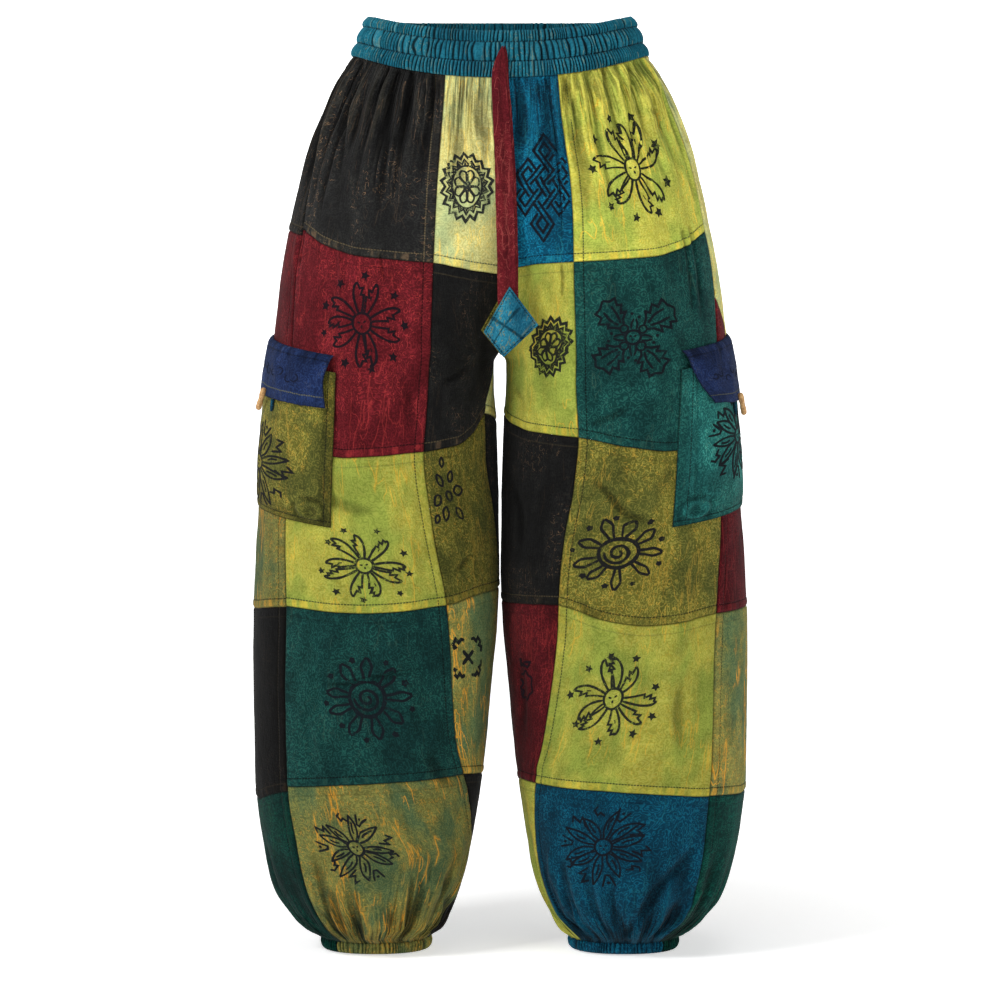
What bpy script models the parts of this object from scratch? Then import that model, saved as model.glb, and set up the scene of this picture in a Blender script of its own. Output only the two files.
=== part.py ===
"""Patchwork harem pants, filled out as if worn, built from the flat cloth pieces they are sewn from.

Metres, +Z up. The front faces -Y, and the left leg is the one at -X. The origin is the middle of the
waistband's ring. Each leg is a stack of rounded sections. A place on a leg is given by its turn, in
degrees round the section from the side (0) by the front (90) to the inside of the leg (180) and on
round the back, and by its level, the height before the waist's tilt is added.
"""
import math

import bmesh
import bpy
import numpy as np

# Cloth and seams
CLOTH = 0.0013
SEAM_GAP = 0.0003
ROUNDNESS = 2.25
RISE_POWER = 3.2

# Heights of the garment's main lines
BAND_TOP = 0.0173
BAND_BOTTOM = -0.0231
CROTCH = -0.332
CUFF_TOP = -0.9600
CUFF_BOTTOM = -0.9715

# Waistband: a casing shirred into three puffed channels
BAND_RIBS = 80
BAND_RIB_DEPTH = 0.0008
SEAM_RIB_SHARE = 0.4
SEAM_BULGE = 0.001
BAND_INSIDE = 0.0016
BAND_INSIDE_SIDES = 40
BAND_CHANNELS = (
    # share of the band's height, bulge
    (0.00, 0.0006),
    (0.12, 0.0024),
    (0.24, 0.0004),
    (0.44, 0.0032),
    (0.655, 0.0004),
    (0.83, 0.0028),
    (1.00, 0.0005),
)

# Cuffs: a narrow elastic hem
CUFF_RIB_DEPTH = 0.0008
CUFF_INSIDE = 0.0012
CUFF_INSIDE_SIDES = 22
CUFF_CHANNEL = (
    # share of the cuff's height, bulge
    (0.0, 0.0004),
    (0.5, 0.0018),
    (1.0, 0.0004),
)


class Table:
    """Rows of named columns against the first one, joined by smooth curves that never overshoot."""

    def __init__(self, names, rows):
        ordered = sorted(rows)
        self.keys = np.array([row[0] for row in ordered])
        self.columns = {}
        for place, name in enumerate(names[1:], start=1):
            self.columns[name] = np.array([row[place] for row in ordered])

    def read(self, name, where):
        keys = self.keys
        values = self.columns[name]
        step = np.diff(keys)
        slope = np.diff(values) / step
        product = slope[:-1] * slope[1:]
        total = np.where(product > 0, slope[:-1] + slope[1:], 1.0)
        middle = np.where(product > 0, 2 * product / total, 0.0)
        tangent = np.concatenate((slope[:1], middle, slope[-1:]))
        where = np.clip(where, keys[0], keys[-1])
        low = np.clip(np.searchsorted(keys, where) - 1, 0, len(step) - 1)
        share = (where - keys[low]) / step[low]
        start = values[low] * (1 + 2 * share) * (1 - share) ** 2
        start += tangent[low] * step[low] * share * (1 - share) ** 2
        end = values[low + 1] * share ** 2 * (3 - 2 * share)
        end += tangent[low + 1] * step[low] * share ** 2 * (share - 1)
        return start + end


# The leg's sections. "outer" and "inner" are measured from the centre plane; above the crotch the
# section is cut off by that plane, so its inner side isn't used. "drop" and "lift" tilt the waist.
SECTIONS = Table(
    ("level", "outer", "inner", "centre_y", "front", "back", "drop", "lift"),
    (
        (0.0173, 0.1385, 0.0, 0.000, 0.104, 0.104, 0.0237, 0.006),
        (-0.0030, 0.1465, 0.0, 0.000, 0.109, 0.109, 0.0275, 0.008),
        (-0.0231, 0.1550, 0.0, 0.000, 0.114, 0.114, 0.0313, 0.010),
        (-0.0450, 0.1690, 0.0, 0.000, 0.121, 0.122, 0.0310, 0.010),
        (-0.0630, 0.1785, 0.0, 0.000, 0.124, 0.128, 0.0295, 0.009),
        (-0.0890, 0.1892, 0.0, 0.001, 0.127, 0.134, 0.0260, 0.008),
        (-0.1420, 0.2069, 0.0, 0.002, 0.131, 0.141, 0.0155, 0.004),
        (-0.1950, 0.2203, 0.0, 0.004, 0.133, 0.144, 0.0060, 0.001),
        (-0.2475, 0.2305, 0.0, 0.004, 0.134, 0.143, 0.0, 0.0),
        (-0.3000, 0.2370, 0.0, 0.004, 0.133, 0.138, 0.0, 0.0),
        (-0.3320, 0.2405, 0.0, 0.004, 0.132, 0.136, 0.0, 0.0),
        (-0.3450, 0.2420, 0.0058, 0.004, 0.132, 0.135, 0.0, 0.0),
        (-0.3700, 0.2448, 0.0062, 0.004, 0.131, 0.134, 0.0, 0.0),
        (-0.4065, 0.2485, 0.0046, 0.004, 0.131, 0.131, 0.0, 0.0),
        (-0.4600, 0.2535, 0.0032, 0.005, 0.130, 0.128, 0.0, 0.0),
        (-0.5130, 0.2572, 0.0018, 0.006, 0.129, 0.126, 0.0, 0.0),
        (-0.5660, 0.2605, 0.0014, 0.008, 0.128, 0.124, 0.0, 0.0),
        (-0.6200, 0.2628, 0.0022, 0.010, 0.127, 0.123, 0.0, 0.0),
        (-0.6730, 0.2632, 0.0069, 0.012, 0.125, 0.122, 0.0, 0.0),
        (-0.7270, 0.2632, 0.0123, 0.013, 0.122, 0.120, 0.0, 0.0),
        (-0.7806, 0.2629, 0.0182, 0.014, 0.118, 0.117, 0.0, 0.0),
        (-0.8340, 0.2583, 0.0257, 0.014, 0.111, 0.112, 0.0, 0.0),
        (-0.8610, 0.2531, 0.0310, 0.013, 0.106, 0.107, 0.0, 0.0),
        (-0.8880, 0.2462, 0.0369, 0.012, 0.099, 0.100, 0.0, 0.0),
        (-0.9150, 0.2346, 0.0466, 0.011, 0.089, 0.091, 0.0, 0.0),
        (-0.9420, 0.2138, 0.0605, 0.010, 0.073, 0.075, 0.0, 0.0),
        (-0.9530, 0.2010, 0.0686, 0.010, 0.062, 0.064, 0.0, 0.0),
        (-0.9600, 0.1905, 0.0755, 0.010, 0.050, 0.052, 0.0, 0.0),
        (-0.9715, 0.1885, 0.0765, 0.010, 0.048, 0.050, 0.0, 0.0),
    ),
)

# Upright seams: how far the side seam, the main seam on the front and the main seam on the back lie
# from the centre plane, and the turn of the inseam. Above the crotch the inseam's place is taken by
# the front and back centre seams.
UPRIGHT_NAMES = ("level", "side", "main", "rear", "inseam_turn")
UPRIGHT_SEAMS = {
    "left": Table(
        UPRIGHT_NAMES,
        (
            (-0.0231, 0.1480, 0.0560, 0.0570, 180.0),
            (-0.0530, 0.1640, 0.0575, 0.0585, 180.0),
            (-0.1490, 0.1960, 0.0637, 0.0640, 180.0),
            (-0.2120, 0.2060, 0.0665, 0.0670, 180.0),
            (-0.2570, 0.2120, 0.0682, 0.0690, 180.0),
            (-0.3320, 0.2155, 0.0710, 0.0735, 180.0),
            (-0.3600, 0.2170, 0.0726, 0.0750, 170.0),
            (-0.4000, 0.2190, 0.0752, 0.0770, 155.0),
            (-0.4400, 0.2208, 0.0780, 0.0782, 155.0),
            (-0.5120, 0.2218, 0.0686, 0.0770, 166.0),
            (-0.6000, 0.2215, 0.0540, 0.0720, 178.0),
            (-0.6900, 0.2240, 0.0485, 0.0670, 184.0),
            (-0.7300, 0.2235, 0.0460, 0.0660, 186.0),
            (-0.7720, 0.2228, 0.0379, 0.0660, 189.0),
            (-0.7980, 0.2214, 0.0324, 0.0670, 192.0),
            (-0.8466, 0.2135, 0.0300, 0.0710, 198.0),
            (-0.8840, 0.2058, 0.0365, 0.0775, 201.0),
            (-0.9150, 0.1960, 0.0480, 0.0850, 202.0),
            (-0.9420, 0.1820, 0.0620, 0.0925, 203.0),
            (-0.9600, 0.1680, 0.0772, 0.0990, 204.0),
            (-0.9715, 0.1665, 0.0782, 0.1000, 204.0),
        ),
    ),
    "right": Table(
        UPRIGHT_NAMES,
        (
            (-0.0231, 0.1485, 0.0590, 0.0570, 180.0),
            (-0.0530, 0.1665, 0.0610, 0.0585, 180.0),
            (-0.1000, 0.1840, 0.0664, 0.0615, 180.0),
            (-0.1490, 0.2005, 0.0718, 0.0640, 180.0),
            (-0.1940, 0.2105, 0.0742, 0.0665, 180.0),
            (-0.2570, 0.2210, 0.0752, 0.0690, 180.0),
            (-0.3320, 0.2262, 0.0776, 0.0735, 180.0),
            (-0.3600, 0.2274, 0.0780, 0.0750, 181.0),
            (-0.4200, 0.2292, 0.0800, 0.0780, 183.5),
            (-0.4770, 0.2305, 0.0750, 0.0785, 185.0),
            (-0.5160, 0.2302, 0.0671, 0.0770, 186.0),
            (-0.5640, 0.2275, 0.0612, 0.0740, 186.0),
            (-0.6300, 0.2245, 0.0582, 0.0700, 187.0),
            (-0.7110, 0.2225, 0.0488, 0.0665, 188.0),
            (-0.7470, 0.2215, 0.0431, 0.0660, 189.0),
            (-0.7720, 0.2205, 0.0375, 0.0660, 190.0),
            (-0.8150, 0.2170, 0.0355, 0.0680, 191.0),
            (-0.8580, 0.2120, 0.0386, 0.0730, 192.0),
            (-0.8940, 0.2045, 0.0459, 0.0800, 192.0),
            (-0.9280, 0.1925, 0.0600, 0.0885, 192.0),
            (-0.9600, 0.1700, 0.0860, 0.0990, 192.0),
            (-0.9715, 0.1690, 0.0870, 0.1000, 192.0),
        ),
    ),
}

# The upright columns of patches, round the leg from the side seam. Steps are the spaces between
# points across a patch where it has no gathers.
COLUMNS = ("front_main", "front_inner", "back_inner", "back_main")
COARSE_STEPS = {"front_main": 10, "front_inner": 6, "back_inner": 6, "back_main": 14}
WAIST_GATHERS = {"front_main": 7, "front_inner": 2, "back_inner": 3, "back_main": 10}
CUFF_GATHERS = {"front_main": 6, "front_inner": 3, "back_inner": 3, "back_main": 9}

# Cross seams between rows of patches: their levels at places round the leg
CROSS_NAMES = (
    "side", "front", "main", "middle", "centre", "back_centre", "rear", "back", "flank", "back_side",
)
CROSS_SEAMS = {
    "left": (
        (-0.2065, -0.2335, -0.2435, -0.2505, -0.2545, -0.2620, -0.2500, -0.2220, -0.2060, -0.2120),
        (-0.4240, -0.4425, -0.4363, -0.4280, -0.3980, -0.3980, -0.4300, -0.4400, -0.4250, -0.4240),
        (-0.5970, -0.6025, -0.5955, -0.5860, -0.5844, -0.5844, -0.5960, -0.6080, -0.6047, -0.5980),
        (-0.7870, -0.7800, -0.7770, -0.7820, -0.7880, -0.7880, -0.7920, -0.8020, -0.8080, -0.7920),
    ),
    "right": (
        (-0.2080, -0.2345, -0.2425, -0.2450, -0.2520, -0.2620, -0.2500, -0.3000, -0.3220, -0.2770),
        (-0.4300, -0.4355, -0.4215, -0.4140, -0.3990, -0.3990, -0.4300, -0.4400, -0.4300, -0.4300),
        (-0.6050, -0.6155, -0.5950, -0.5970, -0.5989, -0.5989, -0.6050, -0.6100, -0.6030, -0.6050),
        (-0.7970, -0.7895, -0.7866, -0.7870, -0.7985, -0.7985, -0.7920, -0.8000, -0.8010, -0.7965),
    ),
}
# Where those places lie across each column, as a share of its width
CROSS_PLACES = {
    "front_main": ((0.0, "side"), (0.5, "front"), (1.0, "main")),
    "front_inner": ((0.0, "main"), (0.5, "middle"), (1.0, "centre")),
    "back_inner": ((0.0, "back_centre"), (1.0, "rear")),
    "back_main": ((0.0, "rear"), (0.45, "back"), (0.8, "flank"), (1.0, "back_side")),
}

# Depth of the gathers by level: under the waistband, and above the cuff
GATHER_DEPTH = Table(
    ("level", "waist", "cuff"),
    (
        (-0.0231, 0.0014, 0.0),
        (-0.0420, 0.0030, 0.0),
        (-0.0900, 0.0026, 0.0),
        (-0.1500, 0.0012, 0.0),
        (-0.2040, 0.0, 0.0),
        (-0.8250, 0.0, 0.0),
        (-0.8850, 0.0, 0.0016),
        (-0.9250, 0.0, 0.0032),
        (-0.9450, 0.0, 0.0034),
        (-0.9600, 0.0, 0.0010),
    ),
)
# Uneven spacing of the gathers: one slow and one quicker sway across each column
GATHER_SWAY = (0.020, 0.012)

# Short steps for slopes: along a column's width, round the leg in degrees, and down it in metres
WIDTH_STEP = 0.01
TURN_STEP = 0.5
LEVEL_STEP = 0.001

# Largest folds: lines down or across the leg, a ridge where the depth is positive
FOLD_NAMES = ("leg", "turn_top", "level_top", "turn_end", "level_end", "half_width", "depth")
FOLDS = (
    ("left", 64.0, -0.250, 80.0, -0.420, 0.020, 0.0030),
    ("left", 84.0, -0.215, 104.0, -0.400, 0.018, -0.0028),
    ("left", 120.0, -0.300, 84.0, -0.420, 0.018, 0.0030),
    ("left", 100.0, -0.440, 128.0, -0.590, 0.019, -0.0028),
    ("left", 70.0, -0.530, 78.0, -0.660, 0.020, 0.0028),
    ("left", 98.0, -0.590, 112.0, -0.800, 0.021, 0.0032),
    ("left", 70.0, -0.680, 60.0, -0.860, 0.020, -0.0030),
    ("left", 300.0, -0.220, 282.0, -0.470, 0.024, -0.0035),
    ("left", 264.0, -0.400, 300.0, -0.640, 0.024, 0.0036),
    ("left", 322.0, -0.560, 310.0, -0.800, 0.022, -0.0034),
    ("right", 60.0, -0.215, 68.0, -0.400, 0.020, 0.0030),
    ("right", 82.0, -0.270, 104.0, -0.410, 0.017, -0.0028),
    ("right", 118.0, -0.330, 90.0, -0.480, 0.018, 0.0030),
    ("right", 104.0, -0.470, 76.0, -0.600, 0.019, -0.0026),
    ("right", 66.0, -0.560, 80.0, -0.720, 0.020, 0.0030),
    ("right", 112.0, -0.620, 104.0, -0.800, 0.021, -0.0030),
    ("right", 84.0, -0.740, 74.0, -0.880, 0.020, 0.0028),
    ("right", 304.0, -0.230, 286.0, -0.460, 0.024, 0.0035),
    ("right", 262.0, -0.390, 296.0, -0.630, 0.024, -0.0036),
    ("right", 320.0, -0.580, 312.0, -0.800, 0.022, 0.0034),
)

# Rows of points down each patch: shares of its height, with how closely the points stand
DENSE = 4
HALF_DENSE = 2
COARSE = 0
PATCH_ROWS = {
    1: ((0.0, DENSE), (0.09, DENSE), (0.31, DENSE), (0.58, HALF_DENSE), (1.0, COARSE)),
    2: ((0.0, COARSE), (0.25, COARSE), (0.5, COARSE), (0.75, COARSE), (1.0, COARSE)),
    3: ((0.0, COARSE), (0.25, COARSE), (0.5, COARSE), (0.75, COARSE), (1.0, COARSE)),
    4: ((0.0, COARSE), (0.25, COARSE), (0.5, COARSE), (0.75, COARSE), (1.0, COARSE)),
    5: (
        (0.0, COARSE), (0.32, COARSE), (0.58, HALF_DENSE), (0.80, DENSE), (0.93, DENSE), (1.0, DENSE),
    ),
}
# Patches at the right side seam, where the seams in front of and behind it stand at other heights
SIDE_ROWS = {
    ("right", "front_main", 2): (
        (0.0, COARSE), (0.311, COARSE), (0.5, COARSE), (0.75, COARSE), (1.0, COARSE),
    ),
    ("right", "back_main", 1): (
        (0.0, DENSE), (0.0655, DENSE), (0.2257, DENSE), (0.4224, HALF_DENSE), (0.7285, COARSE), (1.0, COARSE),
    ),
    ("right", "back_main", 2): (
        (0.0, COARSE), (0.2745, COARSE), (0.637, COARSE), (0.8, COARSE), (1.0, COARSE),
    ),
}
# Levels on the centre seams and the inseam of the patches that hold the crotch's curve
CROTCH_LEVELS = (-0.285, -0.309, -0.3225, -0.3295, CROTCH, -0.3365, -0.345, -0.368)

# Cargo pockets, wrapped round the side: turns of their upright edges and levels at turn 0
POCKET_REAR_TURN = -18.0
POCKET_SLOPE = -0.00031
POCKET_HOLLOW = 0.0030
POCKET_LIFT = 0.0006
POCKETS = {
    "left": {
        "turn_top": 72.0, "turn_bottom": 72.5, "top": -0.3330, "bottom": -0.4916,
        "flap_turns": (70.0, 66.5, 68.5), "flap_top": -0.3165, "flap_depths": (0.056, 0.0565, 0.0545),
        "toggle_turn": 22.0, "toggle_lean": -8.0, "loop_turn": 31.0,
    },
    "right": {
        "turn_top": 62.5, "turn_bottom": 71.0, "top": -0.3330, "bottom": -0.4916,
        "flap_turns": (60.0, 55.0, 44.5), "flap_top": -0.3145, "flap_depths": (0.064, 0.0665, 0.0590),
        "toggle_turn": 14.5, "toggle_lean": -8.0, "loop_turn": 20.5,
    },
}
POCKET_COLUMNS = 12
POCKET_ROWS = (0.0, 0.06, 0.2, 0.4, 0.6, 0.8, 0.94, 1.0)
FLAP_ROWS = (0.0, 0.06, 0.13, 0.17, 0.4, 0.7, 1.0)
FLAP_LIFT = 0.0006
FLAP_OVERHANG = 1.5
FLAP_HEM = 0.14
FLAP_HEM_RISE = 0.0016
FLAP_STEP = 0.17
FLAP_DROOP = 0.0012

# Toggle sticks and cloth loops at the flaps' lower edges
TOGGLE_LENGTH = 0.022
TOGGLE_RADIUS = 0.0032
TOGGLE_SIDES = 8
TOGGLE_TOP = 0.3
TOGGLE_PROFILE = (
    # share of its length, share of its radius
    (0.0, 0.60),
    (0.1, 0.92),
    (0.5, 1.00),
    (0.9, 0.92),
    (1.0, 0.55),
)
LOOP_WIDTH = 0.0062
LOOP_LENGTH = 0.0125
LOOP_PROFILE = (
    # share of its length, share of its width
    (0.0, 1.0),
    (0.6, 1.0),
    (0.88, 0.8),
    (1.0, 0.4),
)

# Drawstring: two flat strap ends out of one slit, each with a folded diamond patch on its end. They
# hang from the most forward cloth within a share of the front inner columns.
STRAP_THICKNESS = 0.0016
STRAP = Table(
    ("level", "middle_x", "half_width"),
    (
        (0.0035, 0.0026, 0.0016),
        (-0.0060, 0.0010, 0.0045),
        (-0.0200, -0.0010, 0.0074),
        (-0.0600, 0.0010, 0.0086),
        (-0.1160, 0.0036, 0.0092),
        (-0.1740, 0.0052, 0.0096),
        (-0.2860, 0.0074, 0.0096),
    ),
)
STRAP_ROWS = 26
STRAP_REACH = (0.6, 1.0)
STRAP_REACH_STEPS = 16
STRAP_REAR_SHIFT = 0.0022
DIAMOND_THICKNESS = 0.0024
DIAMOND_CORNERS = (
    # x, z: top, right, bottom, left
    (0.0097, -0.2675),
    (0.0392, -0.3067),
    (0.0036, -0.3398),
    (-0.0168, -0.3140),
)
DIAMOND_REAR_SHIFT = (-0.0026, 0.0022)
DIAMOND_STEPS = 4
DIAMOND_EDGE = 0.45

# Colours as 0-255 red, green and blue
COLOURS = {
    "black": (41, 40, 39),
    "red": (90, 31, 36),
    "lime": (155, 157, 66),
    "teal": (23, 68, 66),
    "sage": (150, 146, 88),
    "blue": (19, 66, 86),
    "olive": (98, 94, 45),
    "green": (26, 55, 49),
    "navy": (37, 47, 79),
    "band_blue": (29, 86, 102),
    "strap_red": (105, 37, 40),
    "diamond_blue": (42, 100, 119),
    "wood": (196, 152, 98),
}
PATCH_COLOURS = {
    # rows from the waist to the cuff
    "left_front_main": ("black", "red", "lime", "teal", "sage"),
    "left_front_inner": ("sage", "black", "olive", "sage", "black"),
    "left_back_inner": ("olive", "sage", "black", "lime", "teal"),
    "left_back_main": ("black", "red", "sage", "black", "green"),
    "right_front_main": ("lime", "teal", "olive", "lime", "blue"),
    "right_front_inner": ("blue", "lime", "black", "red", "lime"),
    "right_back_inner": ("red", "olive", "blue", "teal", "black"),
    "right_back_main": ("sage", "red", "red", "sage", "green"),
}
SIDES = {"left": -1.0, "right": 1.0}


def blend(start, end, share):
    """Value a share of the way from start to end."""
    return start + (end - start) * share


def section(level):
    """Middle x, half width and lean towards the centre plane of the leg's section."""
    outer = SECTIONS.read("outer", level)
    inner = SECTIONS.read("inner", level)
    fall = np.clip((BAND_BOTTOM - level) / (BAND_BOTTOM - CROTCH), 0.0, 1.0)
    rise = np.sqrt(1.0 - fall ** RISE_POWER)
    lean = (1.0 - rise ** ROUNDNESS) ** (1.0 / ROUNDNESS)
    half = np.where(level > CROTCH, outer / (1.0 + lean), (outer - inner) / 2)
    return outer - half, half, lean


def centre_turn(level):
    """Turn at which the front of the section meets the centre plane, above the crotch."""
    lean = section(level)[2]
    return np.degrees(np.arccos(-lean ** (ROUNDNESS / 2)))


def leg_point(turn, level):
    """Point of the smooth right leg, before gathers and folds."""
    middle, half, _ = section(level)
    angle = np.radians(turn)
    across = np.sign(np.cos(angle)) * np.abs(np.cos(angle)) ** (2 / ROUNDNESS)
    forward = np.sign(np.sin(angle)) * np.abs(np.sin(angle)) ** (2 / ROUNDNESS)
    depth = np.where(forward > 0, SECTIONS.read("front", level), SECTIONS.read("back", level))
    tilt = SECTIONS.read("lift", level) * np.clip(-forward, 0, None) ** 2
    tilt -= SECTIONS.read("drop", level) * np.clip(forward, 0, None) ** 2
    x = middle + half * across
    y = SECTIONS.read("centre_y", level) - depth * forward
    return np.stack((x, y, level + tilt), axis=-1)


def unit(vectors):
    """Vectors scaled to length one."""
    return vectors / np.linalg.norm(vectors, axis=-1, keepdims=True)


def outward(turn, level):
    """Level direction square to the smooth leg."""
    along = leg_point(turn + TURN_STEP, level) - leg_point(turn - TURN_STEP, level)
    flat = np.stack((-along[..., 1], along[..., 0], np.zeros_like(along[..., 0])), axis=-1)
    return unit(flat)


def fold_relief(leg, turn, level):
    """How far the large folds stand out of the smooth leg, or in where negative."""
    relief = np.zeros_like(turn)
    radius = section(level)[1]
    for fold in FOLDS:
        row = dict(zip(FOLD_NAMES, fold))
        if row["leg"] != leg:
            continue
        down = (level - row["level_top"]) / (row["level_end"] - row["level_top"])
        line = blend(row["turn_top"], row["turn_end"], np.clip(down, 0, 1))
        away = np.radians((turn - line + 180) % 360 - 180) * radius / row["half_width"]
        across = np.cos(np.clip(away, -1, 1) * math.pi / 2) ** 2
        fade = np.sin(np.clip(down, 0, 1) * math.pi) ** 0.7
        relief += row["depth"] * across * fade
    return relief


def seam_turn(leg, name, level):
    """Turn of an upright seam at a level, on the front or, for the rear seam, on the back."""
    middle, half, _ = section(level)
    across = np.clip((UPRIGHT_SEAMS[leg].read(name, level) - middle) / half, -0.998, 0.998)
    turn = np.degrees(np.arccos(np.sign(across) * np.abs(across) ** (ROUNDNESS / 2)))
    return 360.0 - turn if name == "rear" else turn


def column_turn(leg, column, share, level):
    """Turn at a share of the way across a column of patches."""
    inseam = UPRIGHT_SEAMS[leg].read("inseam_turn", level)
    above = level > CROTCH
    if column == "front_main":
        start = seam_turn(leg, "side", level)
        end = seam_turn(leg, "main", level)
    elif column == "front_inner":
        start = seam_turn(leg, "main", level)
        end = np.where(above, centre_turn(level), inseam)
    elif column == "back_inner":
        start = np.where(above, 360.0 - centre_turn(level), inseam)
        end = seam_turn(leg, "rear", level)
    else:
        start = seam_turn(leg, "rear", level)
        end = seam_turn(leg, "side", level) + 360.0
    sway = GATHER_SWAY[0] * np.sin(2 * math.pi * share) + GATHER_SWAY[1] * np.sin(6 * math.pi * share)
    return blend(start, end, share + sway)


def cloth_point(leg, column, share, level):
    """Point of the cloth's outer face, with its gathers and folds, on the right-hand side."""
    turn = column_turn(leg, column, share, level)
    waist = GATHER_DEPTH.read("waist", level) * np.cos(2 * math.pi * WAIST_GATHERS[column] * share)
    cuff = GATHER_DEPTH.read("cuff", level) * np.cos(2 * math.pi * CUFF_GATHERS[column] * share)
    relief = waist + cuff + fold_relief(leg, turn, level)
    return leg_point(turn, level) + outward(turn, level) * relief[..., None]


def cloth_normal(leg, column, share, level, share_step):
    """Direction square to the cloth, pointing out."""
    across = cloth_point(leg, column, share + share_step, level)
    across = across - cloth_point(leg, column, share - share_step, level)
    down = cloth_point(leg, column, share, level - LEVEL_STEP)
    down = down - cloth_point(leg, column, share, level + LEVEL_STEP)
    return unit(np.cross(across, down))


def cross_seam(leg, column, seam, share):
    """Level of a cross seam at a share of a column's width; 0 is the waist seam, 5 the cuff's."""
    if seam == 0:
        return np.full_like(share, BAND_BOTTOM)
    if seam == 5:
        return np.full_like(share, CUFF_TOP)
    heights = dict(zip(CROSS_NAMES, CROSS_SEAMS[leg][seam - 1]))
    rows = [(place, heights[name]) for place, name in CROSS_PLACES[column]]
    return Table(("share", "level"), rows).read("level", share)


def number_rows(rows, first, closed):
    """Vertex numbers of rows of points, each row ending on its first point where closed."""
    numbered = []
    for row in rows:
        line = list(range(first, first + len(row)))
        first += len(row)
        if closed:
            line.append(line[0])
        numbered.append(line)
    return numbered, first


def stitch(faces, upper, lower):
    """Triangles between two rows of vertex numbers, which may differ in count."""
    i = 0
    j = 0
    last_i = len(upper) - 1
    last_j = len(lower) - 1
    while i < last_i or j < last_j:
        if j == last_j or (i < last_i and (i + 1) * last_j <= (j + 1) * last_i):
            faces.append((upper[i], lower[j], upper[i + 1]))
            i += 1
        else:
            faces.append((upper[i], lower[j], lower[j + 1]))
            j += 1


def material(colour):
    """The cloth or wood of one colour."""
    found = bpy.data.materials.get(colour)
    if found:
        return found
    made = bpy.data.materials.new(colour)
    made.use_nodes = True
    shader = made.node_tree.nodes["Principled BSDF"]
    linear = [(channel / 255) ** 2.2 for channel in COLOURS[colour]]
    shader.inputs["Base Color"].default_value = (*linear, 1.0)
    shader.inputs["Roughness"].default_value = 0.55 if colour == "wood" else 0.9
    shader.inputs["Metallic"].default_value = 0.0
    return made


def solid(name, points, faces, colour):
    """An object from points and faces, with its faces turned outward."""
    mesh = bpy.data.meshes.new(name)
    mesh.from_pydata([tuple(point) for point in points], [], faces)
    body = bmesh.new()
    body.from_mesh(mesh)
    bmesh.ops.recalc_face_normals(body, faces=body.faces)
    body.to_mesh(mesh)
    body.free()
    mesh.materials.append(material(colour))
    mesh.shade_smooth()
    mesh.set_sharp_from_angle(angle=math.radians(50))
    made = bpy.data.objects.new(name, mesh)
    bpy.context.scene.collection.objects.link(made)
    return made


def wall(name, outer_rows, inner_rows, colour, closed=False):
    """A closed cloth wall between its outer and inner rows of points."""
    outer, count = number_rows(outer_rows, 0, closed)
    inner, _ = number_rows(inner_rows, count, closed)
    faces = []
    for upper, lower in zip(outer, outer[1:]):
        stitch(faces, upper, lower)
    for upper, lower in zip(inner, inner[1:]):
        stitch(faces, lower, upper)
    stitch(faces, inner[0], outer[0])
    stitch(faces, outer[-1], inner[-1])
    if not closed:
        stitch(faces, [row[0] for row in outer], [row[0] for row in inner])
        stitch(faces, [row[-1] for row in inner], [row[-1] for row in outer])
    return solid(name, np.concatenate(list(outer_rows) + list(inner_rows)), faces, colour)


def mirrored(points, leg):
    """Points of the right-hand side, moved to the given leg."""
    return points * np.array((SIDES[leg], 1.0, 1.0))


def row_shares(leg, column, row):
    """Shares of a patch's height for its rows of points, with how closely the points stand."""
    if row != 2 or column not in ("front_inner", "back_inner"):
        return SIDE_ROWS.get((leg, column, row), PATCH_ROWS[row])
    edge = np.array([1.0 if column == "front_inner" else 0.0])
    top = cross_seam(leg, column, 1, edge)[0] - SEAM_GAP / 2
    bottom = cross_seam(leg, column, 2, edge)[0] + SEAM_GAP / 2
    levels = (top, *CROTCH_LEVELS, bottom)
    return tuple(((top - level) / (top - bottom), COARSE) for level in levels)


def patch_points(leg, column, row, share_down, closeness):
    """Outer and inner points of one row across a patch."""
    gathers = WAIST_GATHERS[column] if row == 1 else CUFF_GATHERS[column]
    steps = gathers * closeness if closeness else COARSE_STEPS[column]
    share = np.linspace(0.0, 1.0, steps + 1)
    half_gap = SEAM_GAP / 2
    top = cross_seam(leg, column, row - 1, share) - half_gap
    bottom = cross_seam(leg, column, row, share) + half_gap
    level = blend(top, bottom, share_down)
    ahead = leg_point(column_turn(leg, column, share + WIDTH_STEP, level), level)
    behind = leg_point(column_turn(leg, column, share - WIDTH_STEP, level), level)
    width = np.linalg.norm(ahead - behind, axis=-1) / (2 * WIDTH_STEP)
    share[0] += half_gap / width[0]
    share[-1] -= half_gap / width[-1]
    share_step = 0.25 / max(steps, 8)
    outer = cloth_point(leg, column, share, level)
    inner = outer - CLOTH * cloth_normal(leg, column, share, level, share_step)
    for points in (outer, inner):
        points[:, 0] = np.maximum(points[:, 0], half_gap)
    return mirrored(outer, leg), mirrored(inner, leg)


def patch(leg, column, row):
    """One sewn patch of a leg."""
    shares = row_shares(leg, column, row)
    rows = [patch_points(leg, column, row, down, closeness) for down, closeness in shares]
    colour = PATCH_COLOURS[f"{leg}_{column}"][row - 1]
    wall(f"{leg}_{column}_{row}", [pair[0] for pair in rows], [pair[1] for pair in rows], colour)


def ring_rows(turns, levels, stand, side_of):
    """Rows of points round a ring, standing off the smooth leg or waist by stand[row]."""
    rows = []
    for level, off in zip(levels, stand):
        heights = np.full_like(turns, level)
        points = leg_point(turns, heights) + outward(turns, heights) * off[:, None]
        rows.append(side_of(points))
    return rows


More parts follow.
